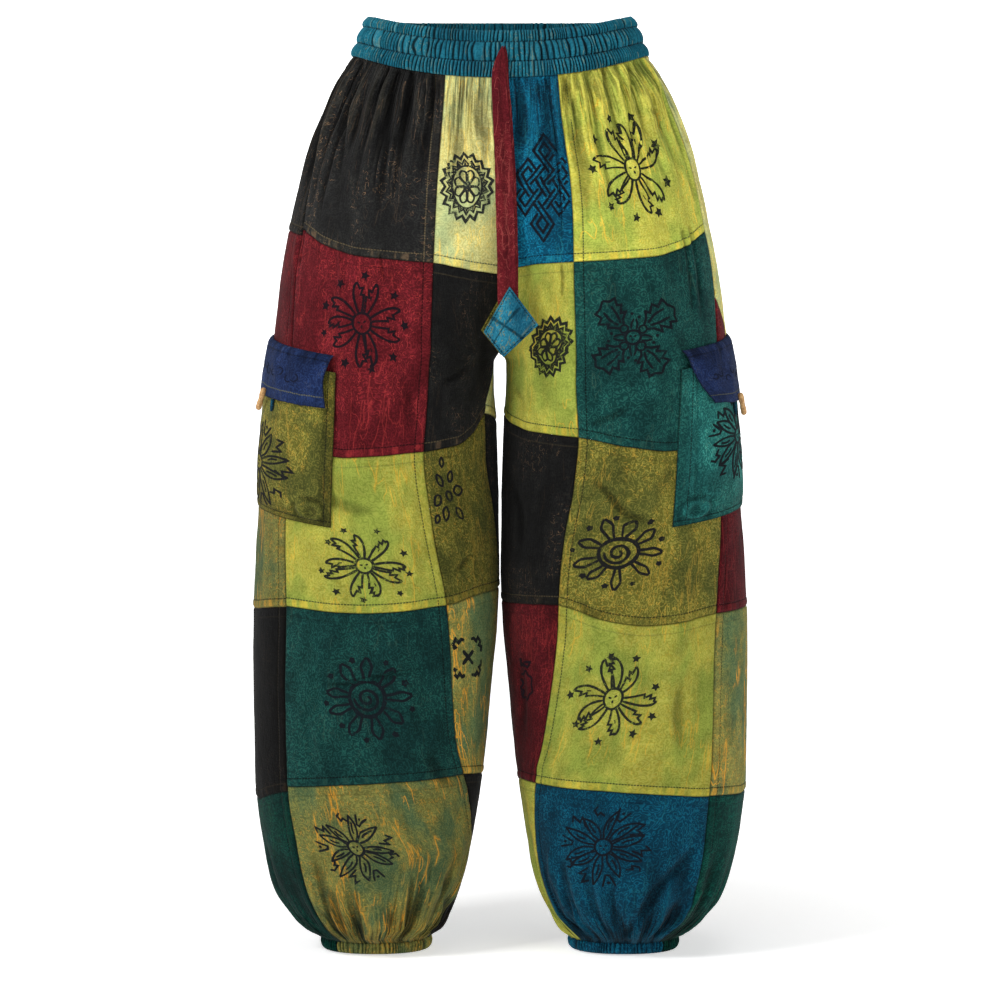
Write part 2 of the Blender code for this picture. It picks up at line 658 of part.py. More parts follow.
def ring(name, channel, top, bottom, ribs, rib_depth, inside, inside_sides, make_rows, colour):
    """An elastic casing: puffed channels with ribs outside, and a plain wall inside."""
    samples = np.arange(2 * ribs) * 180.0 / ribs
    rib = np.where(np.arange(2 * ribs) % 2 == 0, rib_depth, -rib_depth)
    strength = [SEAM_RIB_SHARE if bulge < SEAM_BULGE else 1.0 for _, bulge in channel]
    levels = [blend(top, bottom, share) for share, _ in channel]
    stand = [bulge + rib * part for (_, bulge), part in zip(channel, strength)]
    outer = make_rows(samples, levels, stand)
    plain = np.arange(inside_sides) * 360.0 / inside_sides
    inner = make_rows(plain, (top, bottom), [np.full_like(plain, -inside)] * 2)
    wall(name, outer, inner, colour, closed=True)


def waist_rows(angles, levels, stand):
    """Rows round the waist: the right half, and the left half as its mirror image."""
    on_right = np.cos(np.radians(angles)) >= 0
    turns = np.where(on_right, angles, 180.0 - angles)
    sides = np.ones((len(angles), 3))
    sides[~on_right, 0] = -1.0
    return ring_rows(turns, levels, stand, lambda points: points * sides)


def waistband():
    """The ruched elastic casing at the waist."""
    ring(
        "waistband", BAND_CHANNELS, BAND_TOP, BAND_BOTTOM + SEAM_GAP / 2, BAND_RIBS, BAND_RIB_DEPTH,
        BAND_INSIDE, BAND_INSIDE_SIDES, waist_rows, "band_blue",
    )


def cuff(leg):
    """The elastic hem of one leg."""
    ribs = sum(CUFF_GATHERS.values())
    ring(
        f"{leg}_cuff", CUFF_CHANNEL, CUFF_TOP - SEAM_GAP / 2, CUFF_BOTTOM, ribs, CUFF_RIB_DEPTH,
        CUFF_INSIDE, CUFF_INSIDE_SIDES,
        lambda turns, levels, stand: ring_rows(turns, levels, stand, lambda points: mirrored(points, leg)),
        "sage" if leg == "left" else "blue",
    )


def raised_point(leg, turn, level, stand):
    """Point standing off a leg's panel, square to it."""
    point = leg_point(turn, level) + outward(turn, level) * fold_relief(leg, turn, level)[..., None]
    across = leg_point(turn + TURN_STEP, level) - leg_point(turn - TURN_STEP, level)
    down = leg_point(turn, level - LEVEL_STEP) - leg_point(turn, level + LEVEL_STEP)
    normal = unit(np.cross(across, down))
    return mirrored(point + normal * np.asarray(stand)[..., None], leg)


def pocket(leg):
    """A cargo pocket: its edges lie on the panel and its middle stands off it."""
    sizes = POCKETS[leg]
    across = np.linspace(0.0, 1.0, POCKET_COLUMNS + 1)
    outer = []
    inner = []
    for down in POCKET_ROWS:
        front = blend(sizes["turn_top"], sizes["turn_bottom"], down)
        turn = blend(front, POCKET_REAR_TURN, across)
        level = blend(sizes["top"], sizes["bottom"], down) + POCKET_SLOPE * turn
        swell = (1 - (2 * across - 1) ** 8) * (1 - down ** 8)
        stand = POCKET_LIFT + POCKET_HOLLOW * swell
        outer.append(raised_point(leg, turn, level, stand + CLOTH))
        inner.append(raised_point(leg, turn, level, stand))
    wall(f"{leg}_pocket", outer, inner, "olive" if leg == "left" else "teal")


def flap_stand(down):
    """How far the flap's inner face stands off the panel, from its sewn edge down."""
    clear = POCKET_LIFT + POCKET_HOLLOW + CLOTH + SEAM_GAP
    return blend(FLAP_LIFT, clear + FLAP_DROOP * down, min(1.0, down / FLAP_STEP))


def flap_turns(leg, down, across):
    """Turns across a flap, from its front edge to the back one."""
    top, middle, bottom = POCKETS[leg]["flap_turns"]
    front_edge = Table(("down", "turn"), ((0.0, top), (0.5, middle), (1.0, bottom)))
    return blend(front_edge.read("turn", down), POCKET_REAR_TURN - FLAP_OVERHANG, across)


def flap_levels(leg, down, across):
    """Levels across a flap at a share of its depth."""
    rear, middle, front = POCKETS[leg]["flap_depths"]
    depths = Table(("across", "depth"), ((0.0, front), (0.5, middle), (1.0, rear)))
    slope = POCKET_SLOPE * flap_turns(leg, down, across)
    return POCKETS[leg]["flap_top"] + slope - down * depths.read("depth", across)


def flap_edge_level(leg, turn):
    """Level of the flap's lower edge at a turn."""
    across = np.linspace(0.0, 1.0, 41)
    turns = flap_turns(leg, 1.0, across)
    return float(np.interp(turn, turns[::-1], flap_levels(leg, 1.0, across)[::-1]))


def flap(leg):
    """A pocket flap, sewn down along its rolled top hem."""
    across = np.linspace(0.0, 1.0, POCKET_COLUMNS + 1)
    outer = []
    inner = []
    for down in FLAP_ROWS:
        turn = flap_turns(leg, down, across)
        level = flap_levels(leg, down, across)
        hem = FLAP_HEM_RISE if 0.0 < down < FLAP_HEM else 0.0
        stand = np.full_like(across, flap_stand(down))
        outer.append(raised_point(leg, turn, level, stand + CLOTH + hem))
        inner.append(raised_point(leg, turn, level, stand))
    wall(f"{leg}_flap", outer, inner, "navy")


def toggle(leg):
    """A wooden toggle stick, lying on the flap's lower edge."""
    sizes = POCKETS[leg]
    middle_turn = sizes["toggle_turn"]
    top_level = flap_edge_level(leg, middle_turn) + TOGGLE_TOP * TOGGLE_LENGTH
    stand = flap_stand(1.0) + CLOTH + SEAM_GAP + TOGGLE_RADIUS
    ends = []
    for share in (0.0, 1.0):
        turn = np.array([middle_turn + sizes["toggle_lean"] * (share - TOGGLE_TOP)])
        level = np.array([top_level - share * TOGGLE_LENGTH])
        ends.append(raised_point(leg, turn, level, np.array([stand]))[0])
    axis = unit(ends[1] - ends[0])
    side = unit(np.cross(axis, (0.0, 1.0, 0.0)))
    front = np.cross(axis, side)
    angle = np.arange(TOGGLE_SIDES)[:, None] * 2 * math.pi / TOGGLE_SIDES
    spokes = (side * np.cos(angle) + front * np.sin(angle)) * TOGGLE_RADIUS
    rows = [blend(ends[0], ends[1], share) + spokes * size for share, size in TOGGLE_PROFILE]
    points = np.concatenate(rows)
    rings, _ = number_rows(rows, 0, closed=True)
    faces = []
    for upper, lower in zip(rings, rings[1:]):
        stitch(faces, upper, lower)
    faces.append(tuple(rings[0][:-1]))
    faces.append(tuple(reversed(rings[-1][:-1])))
    solid(f"{leg}_toggle", points, faces, "wood")


def loop(leg):
    """The cloth tab beside the toggle, hanging from the flap over the pocket."""
    sizes = POCKETS[leg]
    radius = section(sizes["top"])[1]
    half_turn = math.degrees(LOOP_WIDTH / 2 / radius)
    top_level = min(flap_edge_level(leg, sizes["loop_turn"] + side * half_turn) for side in (-1, 1))
    outer = []
    inner = []
    for down, width in LOOP_PROFILE:
        turn = sizes["loop_turn"] + half_turn * width * np.linspace(1.0, -1.0, 3)
        level = np.full_like(turn, top_level - 2 * SEAM_GAP - down * LOOP_LENGTH)
        stand = np.full_like(turn, POCKET_LIFT + POCKET_HOLLOW + CLOTH + SEAM_GAP)
        outer.append(raised_point(leg, turn, level, stand + CLOTH))
        inner.append(raised_point(leg, turn, level, stand))
    wall(f"{leg}_loop", outer, inner, "blue")


def front_reach(level):
    """Most forward y of the waistband and the cloth beside the front centre seam."""
    if level >= BAND_BOTTOM:
        bulge = max(bulge for _, bulge in BAND_CHANNELS)
        return -float(SECTIONS.read("front", level)) - bulge - BAND_RIB_DEPTH
    share = np.linspace(*STRAP_REACH, STRAP_REACH_STEPS + 1)
    levels = np.full_like(share, level)
    return min(cloth_point(leg, "front_inner", share, levels)[:, 1].min() for leg in SIDES)


def strap_line():
    """Levels down the strap with the y of the place where it hangs."""
    levels = np.linspace(STRAP.keys[-1], STRAP.keys[0], STRAP_ROWS)
    reach = np.array([front_reach(level) for level in levels])
    return levels, np.minimum.accumulate(reach)


def strap(name, shift, forward):
    """One end of the flat drawstring, hanging down the front and a distance forward of the cloth."""
    levels, reach = strap_line()
    outer = []
    inner = []
    for level, y in zip(levels, reach):
        z = level - float(SECTIONS.read("drop", level))
        middle = float(STRAP.read("middle_x", level)) + shift
        half = float(STRAP.read("half_width", level))
        x = middle + half * np.array((-1.0, 0.0, 1.0))
        back = y - SEAM_GAP - forward
        inner.append(np.stack((x, np.full(3, back), np.full(3, z)), axis=-1))
        outer.append(np.stack((x, np.full(3, back - STRAP_THICKNESS), np.full(3, z)), axis=-1))
    wall(name, outer, inner, "strap_red")


def diamond(name, flat_y, facing, shift, colour):
    """A folded square patch on a strap's end: one flat face, and one that is fuller in the middle."""
    top, right, bottom, left = [np.array(corner) + shift for corner in DIAMOND_CORNERS]
    outer = []
    inner = []
    for i in range(DIAMOND_STEPS + 1):
        down = i / DIAMOND_STEPS
        start = blend(top, left, down)
        end = blend(right, bottom, down)
        across = np.linspace(0.0, 1.0, DIAMOND_STEPS + 1)
        flat = blend(start[None, :], end[None, :], across[:, None])
        middle = (1 - (2 * down - 1) ** 4) * (1 - (2 * across - 1) ** 4)
        full_y = flat_y + facing * DIAMOND_THICKNESS * blend(DIAMOND_EDGE, 1.0, middle)
        outer.append(np.stack((flat[:, 0], full_y, flat[:, 1]), axis=-1))
        inner.append(np.stack((flat[:, 0], np.full_like(across, flat_y), flat[:, 1]), axis=-1))
    wall(name, outer, inner, colour)


def drawstring():
    """Both strap ends in two layers, with a diamond behind the rear one and one before the front one."""
    hang_y = strap_line()[1][-1]
    layer = STRAP_THICKNESS + SEAM_GAP
    strap("drawstring_rear", STRAP_REAR_SHIFT, 0.0)
    strap("drawstring_front", 0.0, layer)
    diamond("diamond_rear", hang_y, 1.0, np.array(DIAMOND_REAR_SHIFT), "olive")
    diamond("diamond_front", hang_y - 2 * layer - SEAM_GAP, -1.0, np.zeros(2), "diamond_blue")


def main():
    for old in list(bpy.data.objects):
        bpy.data.objects.remove(old, do_unlink=True)
    waistband()
    for leg in SIDES:
        for column in COLUMNS:
            for row in PATCH_ROWS:
                patch(leg, column, row)
        cuff(leg)
        pocket(leg)
        flap(leg)
        toggle(leg)
        loop(leg)
    drawstring()


if __name__ == "__main__":
    main()
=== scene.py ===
"""Looks of the patchwork harem pants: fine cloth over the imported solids, with its sewing and prints.

Metres, +Z up. The front faces -Y, and the left leg is the one at -X. A place on a leg is its turn, in
degrees round the section from the side (0) by the front (90) to the inside of the leg (180) and on
round the back, and its level, the height before the waist's tilt is added.
"""
import math

import bmesh
import bpy
import numpy as np
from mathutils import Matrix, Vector


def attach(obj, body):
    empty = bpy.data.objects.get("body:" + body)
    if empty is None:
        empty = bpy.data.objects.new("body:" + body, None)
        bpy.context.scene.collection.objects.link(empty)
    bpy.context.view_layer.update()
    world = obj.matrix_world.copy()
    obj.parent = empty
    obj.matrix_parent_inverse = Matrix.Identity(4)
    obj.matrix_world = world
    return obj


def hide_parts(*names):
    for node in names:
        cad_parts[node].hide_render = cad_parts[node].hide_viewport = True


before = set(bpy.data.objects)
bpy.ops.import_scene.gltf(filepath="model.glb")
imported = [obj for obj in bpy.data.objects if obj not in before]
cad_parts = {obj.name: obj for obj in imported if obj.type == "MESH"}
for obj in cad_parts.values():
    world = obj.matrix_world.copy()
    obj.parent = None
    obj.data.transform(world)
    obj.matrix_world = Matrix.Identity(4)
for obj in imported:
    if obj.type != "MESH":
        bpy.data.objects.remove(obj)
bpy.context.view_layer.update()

# ---------------------------------------------------------------- sizes of the garment's solids
CLOTH = 0.0013
SEAM_GAP = 0.0003
ROUNDNESS = 2.25
RISE_POWER = 3.2
BAND_TOP = 0.0173
BAND_BOTTOM = -0.0231
CROTCH = -0.332
CUFF_TOP = -0.9600
CUFF_BOTTOM = -0.9715
SIDES = {"left": -1.0, "right": 1.0}


class Table:
    """Rows of named columns against the first one, joined by smooth curves that never overshoot."""

    def __init__(self, names, rows):
        ordered = sorted(rows)
        self.keys = np.array([row[0] for row in ordered])
        self.columns = {}
        for place, name in enumerate(names[1:], start=1):
            self.columns[name] = np.array([row[place] for row in ordered])

    def read(self, name, where):
        """Values of a named column at places along the first one."""
        keys = self.keys
        values = self.columns[name]
        step = np.diff(keys)
        slope = np.diff(values) / step
        product = slope[:-1] * slope[1:]
        total = np.where(product > 0, slope[:-1] + slope[1:], 1.0)
        middle = np.where(product > 0, 2 * product / total, 0.0)
        tangent = np.concatenate((slope[:1], middle, slope[-1:]))
        where = np.clip(where, keys[0], keys[-1])
        low = np.clip(np.searchsorted(keys, where) - 1, 0, len(step) - 1)
        share = (where - keys[low]) / step[low]
        start = values[low] * (1 + 2 * share) * (1 - share) ** 2
        start += tangent[low] * step[low] * share * (1 - share) ** 2
        end = values[low + 1] * share ** 2 * (3 - 2 * share)
        end += tangent[low + 1] * step[low] * share ** 2 * (share - 1)
        return start + end


SECTIONS = Table(
    ("level", "outer", "inner", "centre_y", "front", "back", "drop", "lift"),
    (
        (0.0173, 0.1385, 0.0, 0.000, 0.104, 0.104, 0.0237, 0.006),
        (-0.0030, 0.1465, 0.0, 0.000, 0.109, 0.109, 0.0275, 0.008),
        (-0.0231, 0.1550, 0.0, 0.000, 0.114, 0.114, 0.0313, 0.010),
        (-0.0450, 0.1690, 0.0, 0.000, 0.121, 0.122, 0.0310, 0.010),
        (-0.0630, 0.1785, 0.0, 0.000, 0.124, 0.128, 0.0295, 0.009),
        (-0.0890, 0.1892, 0.0, 0.001, 0.127, 0.134, 0.0260, 0.008),
        (-0.1420, 0.2069, 0.0, 0.002, 0.131, 0.141, 0.0155, 0.004),
        (-0.1950, 0.2203, 0.0, 0.004, 0.133, 0.144, 0.0060, 0.001),
        (-0.2475, 0.2305, 0.0, 0.004, 0.134, 0.143, 0.0, 0.0),
        (-0.3000, 0.2370, 0.0, 0.004, 0.133, 0.138, 0.0, 0.0),
        (-0.3320, 0.2405, 0.0, 0.004, 0.132, 0.136, 0.0, 0.0),
        (-0.3450, 0.2420, 0.0058, 0.004, 0.132, 0.135, 0.0, 0.0),
        (-0.3700, 0.2448, 0.0062, 0.004, 0.131, 0.134, 0.0, 0.0),
        (-0.4065, 0.2485, 0.0046, 0.004, 0.131, 0.131, 0.0, 0.0),
        (-0.4600, 0.2535, 0.0032, 0.005, 0.130, 0.128, 0.0, 0.0),
        (-0.5130, 0.2572, 0.0018, 0.006, 0.129, 0.126, 0.0, 0.0),
        (-0.5660, 0.2605, 0.0014, 0.008, 0.128, 0.124, 0.0, 0.0),
        (-0.6200, 0.2628, 0.0022, 0.010, 0.127, 0.123, 0.0, 0.0),
        (-0.6730, 0.2632, 0.0069, 0.012, 0.125, 0.122, 0.0, 0.0),
        (-0.7270, 0.2632, 0.0123, 0.013, 0.122, 0.120, 0.0, 0.0),
        (-0.7806, 0.2629, 0.0182, 0.014, 0.118, 0.117, 0.0, 0.0),
        (-0.8340, 0.2583, 0.0257, 0.014, 0.111, 0.112, 0.0, 0.0),
        (-0.8610, 0.2531, 0.0310, 0.013, 0.106, 0.107, 0.0, 0.0),
        (-0.8880, 0.2462, 0.0369, 0.012, 0.099, 0.100, 0.0, 0.0),
        (-0.9150, 0.2346, 0.0466, 0.011, 0.089, 0.091, 0.0, 0.0),
        (-0.9420, 0.2138, 0.0605, 0.010, 0.073, 0.075, 0.0, 0.0),
        (-0.9530, 0.2010, 0.0686, 0.010, 0.062, 0.064, 0.0, 0.0),
        (-0.9600, 0.1905, 0.0755, 0.010, 0.050, 0.052, 0.0, 0.0),
        (-0.9715, 0.1885, 0.0765, 0.010, 0.048, 0.050, 0.0, 0.0),
    ),
)
UPRIGHT_NAMES = ("level", "side", "main", "rear", "inseam_turn")
UPRIGHT_SEAMS = {
    "left": Table(
        UPRIGHT_NAMES,
        (
            (-0.0231, 0.1480, 0.0560, 0.0570, 180.0),
            (-0.0530, 0.1640, 0.0575, 0.0585, 180.0),
            (-0.1490, 0.1960, 0.0637, 0.0640, 180.0),
            (-0.2120, 0.2060, 0.0665, 0.0670, 180.0),
            (-0.2570, 0.2120, 0.0682, 0.0690, 180.0),
            (-0.3320, 0.2155, 0.0710, 0.0735, 180.0),
            (-0.3600, 0.2170, 0.0726, 0.0750, 170.0),
            (-0.4000, 0.2190, 0.0752, 0.0770, 155.0),
            (-0.4400, 0.2208, 0.0780, 0.0782, 155.0),
            (-0.5120, 0.2218, 0.0686, 0.0770, 166.0),
            (-0.6000, 0.2215, 0.0540, 0.0720, 178.0),
            (-0.6900, 0.2240, 0.0485, 0.0670, 184.0),
            (-0.7300, 0.2235, 0.0460, 0.0660, 186.0),
            (-0.7720, 0.2228, 0.0379, 0.0660, 189.0),
            (-0.7980, 0.2214, 0.0324, 0.0670, 192.0),
            (-0.8466, 0.2135, 0.0300, 0.0710, 198.0),
            (-0.8840, 0.2058, 0.0365, 0.0775, 201.0),
            (-0.9150, 0.1960, 0.0480, 0.0850, 202.0),
            (-0.9420, 0.1820, 0.0620, 0.0925, 203.0),
            (-0.9600, 0.1680, 0.0772, 0.0990, 204.0),
            (-0.9715, 0.1665, 0.0782, 0.1000, 204.0),
        ),
    ),
    "right": Table(
        UPRIGHT_NAMES,
        (
            (-0.0231, 0.1485, 0.0590, 0.0570, 180.0),
            (-0.0530, 0.1665, 0.0610, 0.0585, 180.0),
            (-0.1000, 0.1840, 0.0664, 0.0615, 180.0),
            (-0.1490, 0.2005, 0.0718, 0.0640, 180.0),
            (-0.1940, 0.2105, 0.0742, 0.0665, 180.0),
            (-0.2570, 0.2210, 0.0752, 0.0690, 180.0),
            (-0.3320, 0.2262, 0.0776, 0.0735, 180.0),
            (-0.3600, 0.2274, 0.0780, 0.0750, 181.0),
            (-0.4200, 0.2292, 0.0800, 0.0780, 183.5),
            (-0.4770, 0.2305, 0.0750, 0.0785, 185.0),
            (-0.5160, 0.2302, 0.0671, 0.0770, 186.0),
            (-0.5640, 0.2275, 0.0612, 0.0740, 186.0),
            (-0.6300, 0.2245, 0.0582, 0.0700, 187.0),
            (-0.7110, 0.2225, 0.0488, 0.0665, 188.0),
            (-0.7470, 0.2215, 0.0431, 0.0660, 189.0),
            (-0.7720, 0.2205, 0.0375, 0.0660, 190.0),
            (-0.8150, 0.2170, 0.0355, 0.0680, 191.0),
            (-0.8580, 0.2120, 0.0386, 0.0730, 192.0),
            (-0.8940, 0.2045, 0.0459, 0.0800, 192.0),
            (-0.9280, 0.1925, 0.0600, 0.0885, 192.0),
            (-0.9600, 0.1700, 0.0860, 0.0990, 192.0),
            (-0.9715, 0.1690, 0.0870, 0.1000, 192.0),
        ),
    ),
}
COLUMNS = ("front_main", "front_inner", "back_inner", "back_main")
ROWS = (1, 2, 3, 4, 5)
WAIST_GATHERS = {"front_main": 7, "front_inner": 2, "back_inner": 3, "back_main": 10}
CUFF_GATHERS = {"front_main": 6, "front_inner": 3, "back_inner": 3, "back_main": 9}
CROSS_NAMES = (
    "side", "front", "main", "middle", "centre", "back_centre", "rear", "back", "flank", "back_side",
)
CROSS_SEAMS = {
    "left": (
        (-0.2065, -0.2335, -0.2435, -0.2505, -0.2545, -0.2620, -0.2500, -0.2220, -0.2060, -0.2120),
        (-0.4240, -0.4425, -0.4363, -0.4280, -0.3980, -0.3980, -0.4300, -0.4400, -0.4250, -0.4240),
        (-0.5970, -0.6025, -0.5955, -0.5860, -0.5844, -0.5844, -0.5960, -0.6080, -0.6047, -0.5980),
        (-0.7870, -0.7800, -0.7770, -0.7820, -0.7880, -0.7880, -0.7920, -0.8020, -0.8080, -0.7920),
    ),
    "right": (
        (-0.2080, -0.2345, -0.2425, -0.2450, -0.2520, -0.2620, -0.2500, -0.3000, -0.3220, -0.2770),
        (-0.4300, -0.4355, -0.4215, -0.4140, -0.3990, -0.3990, -0.4300, -0.4400, -0.4300, -0.4300),
        (-0.6050, -0.6155, -0.5950, -0.5970, -0.5989, -0.5989, -0.6050, -0.6100, -0.6030, -0.6050),
        (-0.7970, -0.7895, -0.7866, -0.7870, -0.7985, -0.7985, -0.7920, -0.8000, -0.8010, -0.7965),
    ),
}
CROSS_PLACES = {
    "front_main": ((0.0, "side"), (0.5, "front"), (1.0, "main")),
    "front_inner": ((0.0, "main"), (0.5, "middle"), (1.0, "centre")),
    "back_inner": ((0.0, "back_centre"), (1.0, "rear")),
    "back_main": ((0.0, "rear"), (0.45, "back"), (0.8, "flank"), (1.0, "back_side")),
}
GATHER_DEPTH = Table(
    ("level", "waist", "cuff"),
    (
        (-0.0231, 0.0014, 0.0),
        (-0.0420, 0.0030, 0.0),
        (-0.0900, 0.0026, 0.0),
        (-0.1500, 0.0012, 0.0),
        (-0.2040, 0.0, 0.0),
        (-0.8250, 0.0, 0.0),
        (-0.8850, 0.0, 0.0016),
        (-0.9250, 0.0, 0.0032),
        (-0.9450, 0.0, 0.0034),
        (-0.9600, 0.0, 0.0010),
    ),
)
GATHER_SWAY = (0.020, 0.012)
TURN_STEP = 0.5
LEVEL_STEP = 0.001
FOLD_NAMES = ("leg", "turn_top", "level_top", "turn_end", "level_end", "half_width", "depth")
FOLDS = (
    ("left", 64.0, -0.250, 80.0, -0.420, 0.020, 0.0030),
    ("left", 84.0, -0.215, 104.0, -0.400, 0.018, -0.0028),
    ("left", 120.0, -0.300, 84.0, -0.420, 0.018, 0.0030),
    ("left", 100.0, -0.440, 128.0, -0.590, 0.019, -0.0028),
    ("left", 70.0, -0.530, 78.0, -0.660, 0.020, 0.0028),
    ("left", 98.0, -0.590, 112.0, -0.800, 0.021, 0.0032),
    ("left", 70.0, -0.680, 60.0, -0.860, 0.020, -0.0030),
    ("left", 300.0, -0.220, 282.0, -0.470, 0.024, -0.0035),
    ("left", 264.0, -0.400, 300.0, -0.640, 0.024, 0.0036),
    ("left", 322.0, -0.560, 310.0, -0.800, 0.022, -0.0034),
    ("right", 60.0, -0.215, 68.0, -0.400, 0.020, 0.0030),
    ("right", 82.0, -0.270, 104.0, -0.410, 0.017, -0.0028),
    ("right", 118.0, -0.330, 90.0, -0.480, 0.018, 0.0030),
    ("right", 104.0, -0.470, 76.0, -0.600, 0.019, -0.0026),
    ("right", 66.0, -0.560, 80.0, -0.720, 0.020, 0.0030),
    ("right", 112.0, -0.620, 104.0, -0.800, 0.021, -0.0030),
    ("right", 84.0, -0.740, 74.0, -0.880, 0.020, 0.0028),
    ("right", 304.0, -0.230, 286.0, -0.460, 0.024, 0.0035),
    ("right", 262.0, -0.390, 296.0, -0.630, 0.024, -0.0036),
    ("right", 320.0, -0.580, 312.0, -0.800, 0.022, 0.0034),
)
POCKET_REAR_TURN = -18.0
POCKET_SLOPE = -0.00031
POCKET_HOLLOW = 0.0030
POCKET_LIFT = 0.0006
POCKETS = {
    "left": {
        "turn_top": 72.0, "turn_bottom": 72.5, "top": -0.3330, "bottom": -0.4916,
        "flap_turns": (70.0, 66.5, 68.5), "flap_top": -0.3165, "flap_depths": (0.056, 0.0565, 0.0545),
        "toggle_turn": 22.0, "toggle_lean": -8.0, "loop_turn": 31.0,
    },
    "right": {
        "turn_top": 62.5, "turn_bottom": 71.0, "top": -0.3330, "bottom": -0.4916,
        "flap_turns": (60.0, 55.0, 44.5), "flap_top": -0.3145, "flap_depths": (0.064, 0.0665, 0.0590),
        "toggle_turn": 14.5, "toggle_lean": -8.0, "loop_turn": 20.5,
    },
}
POCKET_SIZES = {"left": (0.118, 0.159), "right": (0.104, 0.159)}
POCKET_PLEAT = {"left": 0.0058, "right": 0.0125}
POCKET_HEM = 0.0065
POCKET_CORNER = 0.014
FLAP_SIZES = {"left": (0.118, 0.056), "right": (0.104, 0.062)}
FLAP_LIFT = 0.0006
FLAP_OVERHANG = 1.5
FLAP_HEM = 0.14
FLAP_HEM_RISE = 0.0016
FLAP_SEAM = 0.0088
FLAP_STEP = 0.17
FLAP_DROOP = 0.0012
FLAP_CURL = 0.0022
FLAP_FRAY = 0.0006
FLAP_PUCKERS_END = 0.12
# Length of cloth to a degree of turn at the pockets
TURN_LENGTH = 0.0018
TOGGLE_LENGTH = 0.022
TOGGLE_RADIUS = 0.0032
TOGGLE_TOP = 0.3
TOGGLE_SIDES = 24
TOGGLE_PROFILE = Table(
    ("share", "size"),
    (
        (0.0, 0.30), (0.025, 0.72), (0.08, 0.92), (0.30, 1.0), (0.44, 0.86), (0.56, 0.86), (0.70, 1.0),
        (0.92, 0.92), (0.975, 0.70), (1.0, 0.30),
    ),
)
LOOP_WIDTH = 0.0062
LOOP_LENGTH = 0.0125
LOOP_TAPER = Table(("down", "width"), ((0.0, 1.0), (0.6, 1.0), (0.88, 0.8), (1.0, 0.4)))
STRAP_THICKNESS = 0.0016
STRAP = Table(
    ("level", "middle_x", "half_width"),
    (
        (0.0035, 0.0026, 0.0016),
        (-0.0060, 0.0010, 0.0045),
        (-0.0200, -0.0010, 0.0074),
        (-0.0600, 0.0010, 0.0086),
        (-0.1160, 0.0036, 0.0092),
        (-0.1740, 0.0052, 0.0096),
        (-0.2860, 0.0074, 0.0096),
    ),
)
STRAP_ROWS = 26
STRAP_REACH = (0.6, 1.0)
STRAP_REACH_STEPS = 16
STRAP_REAR_SHIFT = 0.0022
BAND_BULGE = 0.0032
BAND_RIB_DEPTH = 0.0008
DIAMOND_THICKNESS = 0.0024
DIAMOND_CORNERS = ((0.0097, -0.2675), (0.0392, -0.3067), (0.0036, -0.3398), (-0.0168, -0.3140))
DIAMOND_REAR_SHIFT = (-0.0026, 0.0022)
PATCH_COLOURS = {
    "left_front_main": ("black", "red", "lime", "teal", "sage"),
    "left_front_inner": ("sage", "black", "olive", "sage", "black"),
    "left_back_inner": ("olive", "sage", "black", "lime", "teal"),
    "left_back_main": ("black", "red", "sage", "black", "green"),
    "right_front_main": ("lime", "teal", "olive", "lime", "blue"),
    "right_front_inner": ("blue", "lime", "black", "red", "lime"),
    "right_back_inner": ("red", "olive", "blue", "teal", "black"),
    "right_back_main": ("sage", "red", "red", "sage", "green"),
}

# ---------------------------------------------------------------- sizes of the finer form
VISUAL_GAP = 0.0001
# Points stand at these distances from a patch's edges, in metres, and evenly between them
EDGE_DISTANCES = (0.0, 0.0009, 0.0020, 0.0035, 0.0052, 0.0070, 0.0086, 0.0100, 0.0114)
TOP_DISTANCES = (0.0, 0.0012, 0.0028, 0.0050, 0.0080)
BOTTOM_DISTANCES = (0.0, 0.0012, 0.0028, 0.0046, 0.0064, 0.0079, 0.0088, 0.0097, 0.0112, 0.0135)
COLUMN_STEP = {"front_main": 0.0019, "front_inner": 0.0019, "back_inner": 0.0027, "back_main": 0.0027}
ROW_STEP = 0.0040
FEWEST_ROWS = 8
FEWEST_COLUMNS = 4
# Under this width, the points at a patch's sides crowd closer
NARROW_PATCH = 0.05
# Sewing: the seam's dip, and the stitched allowance above it
SEAM_DIP = 0.0010
SEAM_WIDTH = 0.0013
HEM_STITCH = 0.0088
SIDE_STITCH = 0.0100
ALLOWANCE = 0.0004
ALLOWANCE_START = 0.0012
ALLOWANCE_END = 0.0006
STITCH_DIP = 0.0003
STITCH_WIDTH = 0.0008
PUCKER = 0.0005
PUCKER_SIZE = 0.0034
# Puckers are drawn out square to their seam, so places count less that way
PUCKER_DRAWN = 0.12
PUCKER_START = 0.0008
PUCKER_SOFT = 0.0016
# Ruching beside the elastic casings
RUCHE_DEPTH = 0.0009
RUCHE_SIZE = 0.0026
RUCHE_SINK = 0.006
# Soft unevenness of open cloth: its height, the size of its bumps, and how upright bumps are drawn out
SOFTNESS = ((0.0013, 0.055, 0.5), (0.0005, 0.017, 0.6), (0.00015, 0.006, 1.0))
# Gives each patch a place of its own in the noise
PATCH_SHIFT = 0.37
# Relief that counts as 1 in the material's wear marks and painted shade, and in its gather of fine tucks
SHADE_AND_WEAR_DEPTH = 0.0025
FULL_PLEAT = 0.0024
# Distance given to an edge that isn't stitched
FAR = 0.5
NEAR_WAIST = 0.016
# Centre seams: which end of a column they are on, how far from them the cloth is held, and how soon
# that starts above the crotch
CENTRE_SEAM_AT = {"front_inner": "end", "back_inner": "start"}
CENTRE_REACH = 0.010
CENTRE_FADE = 0.020
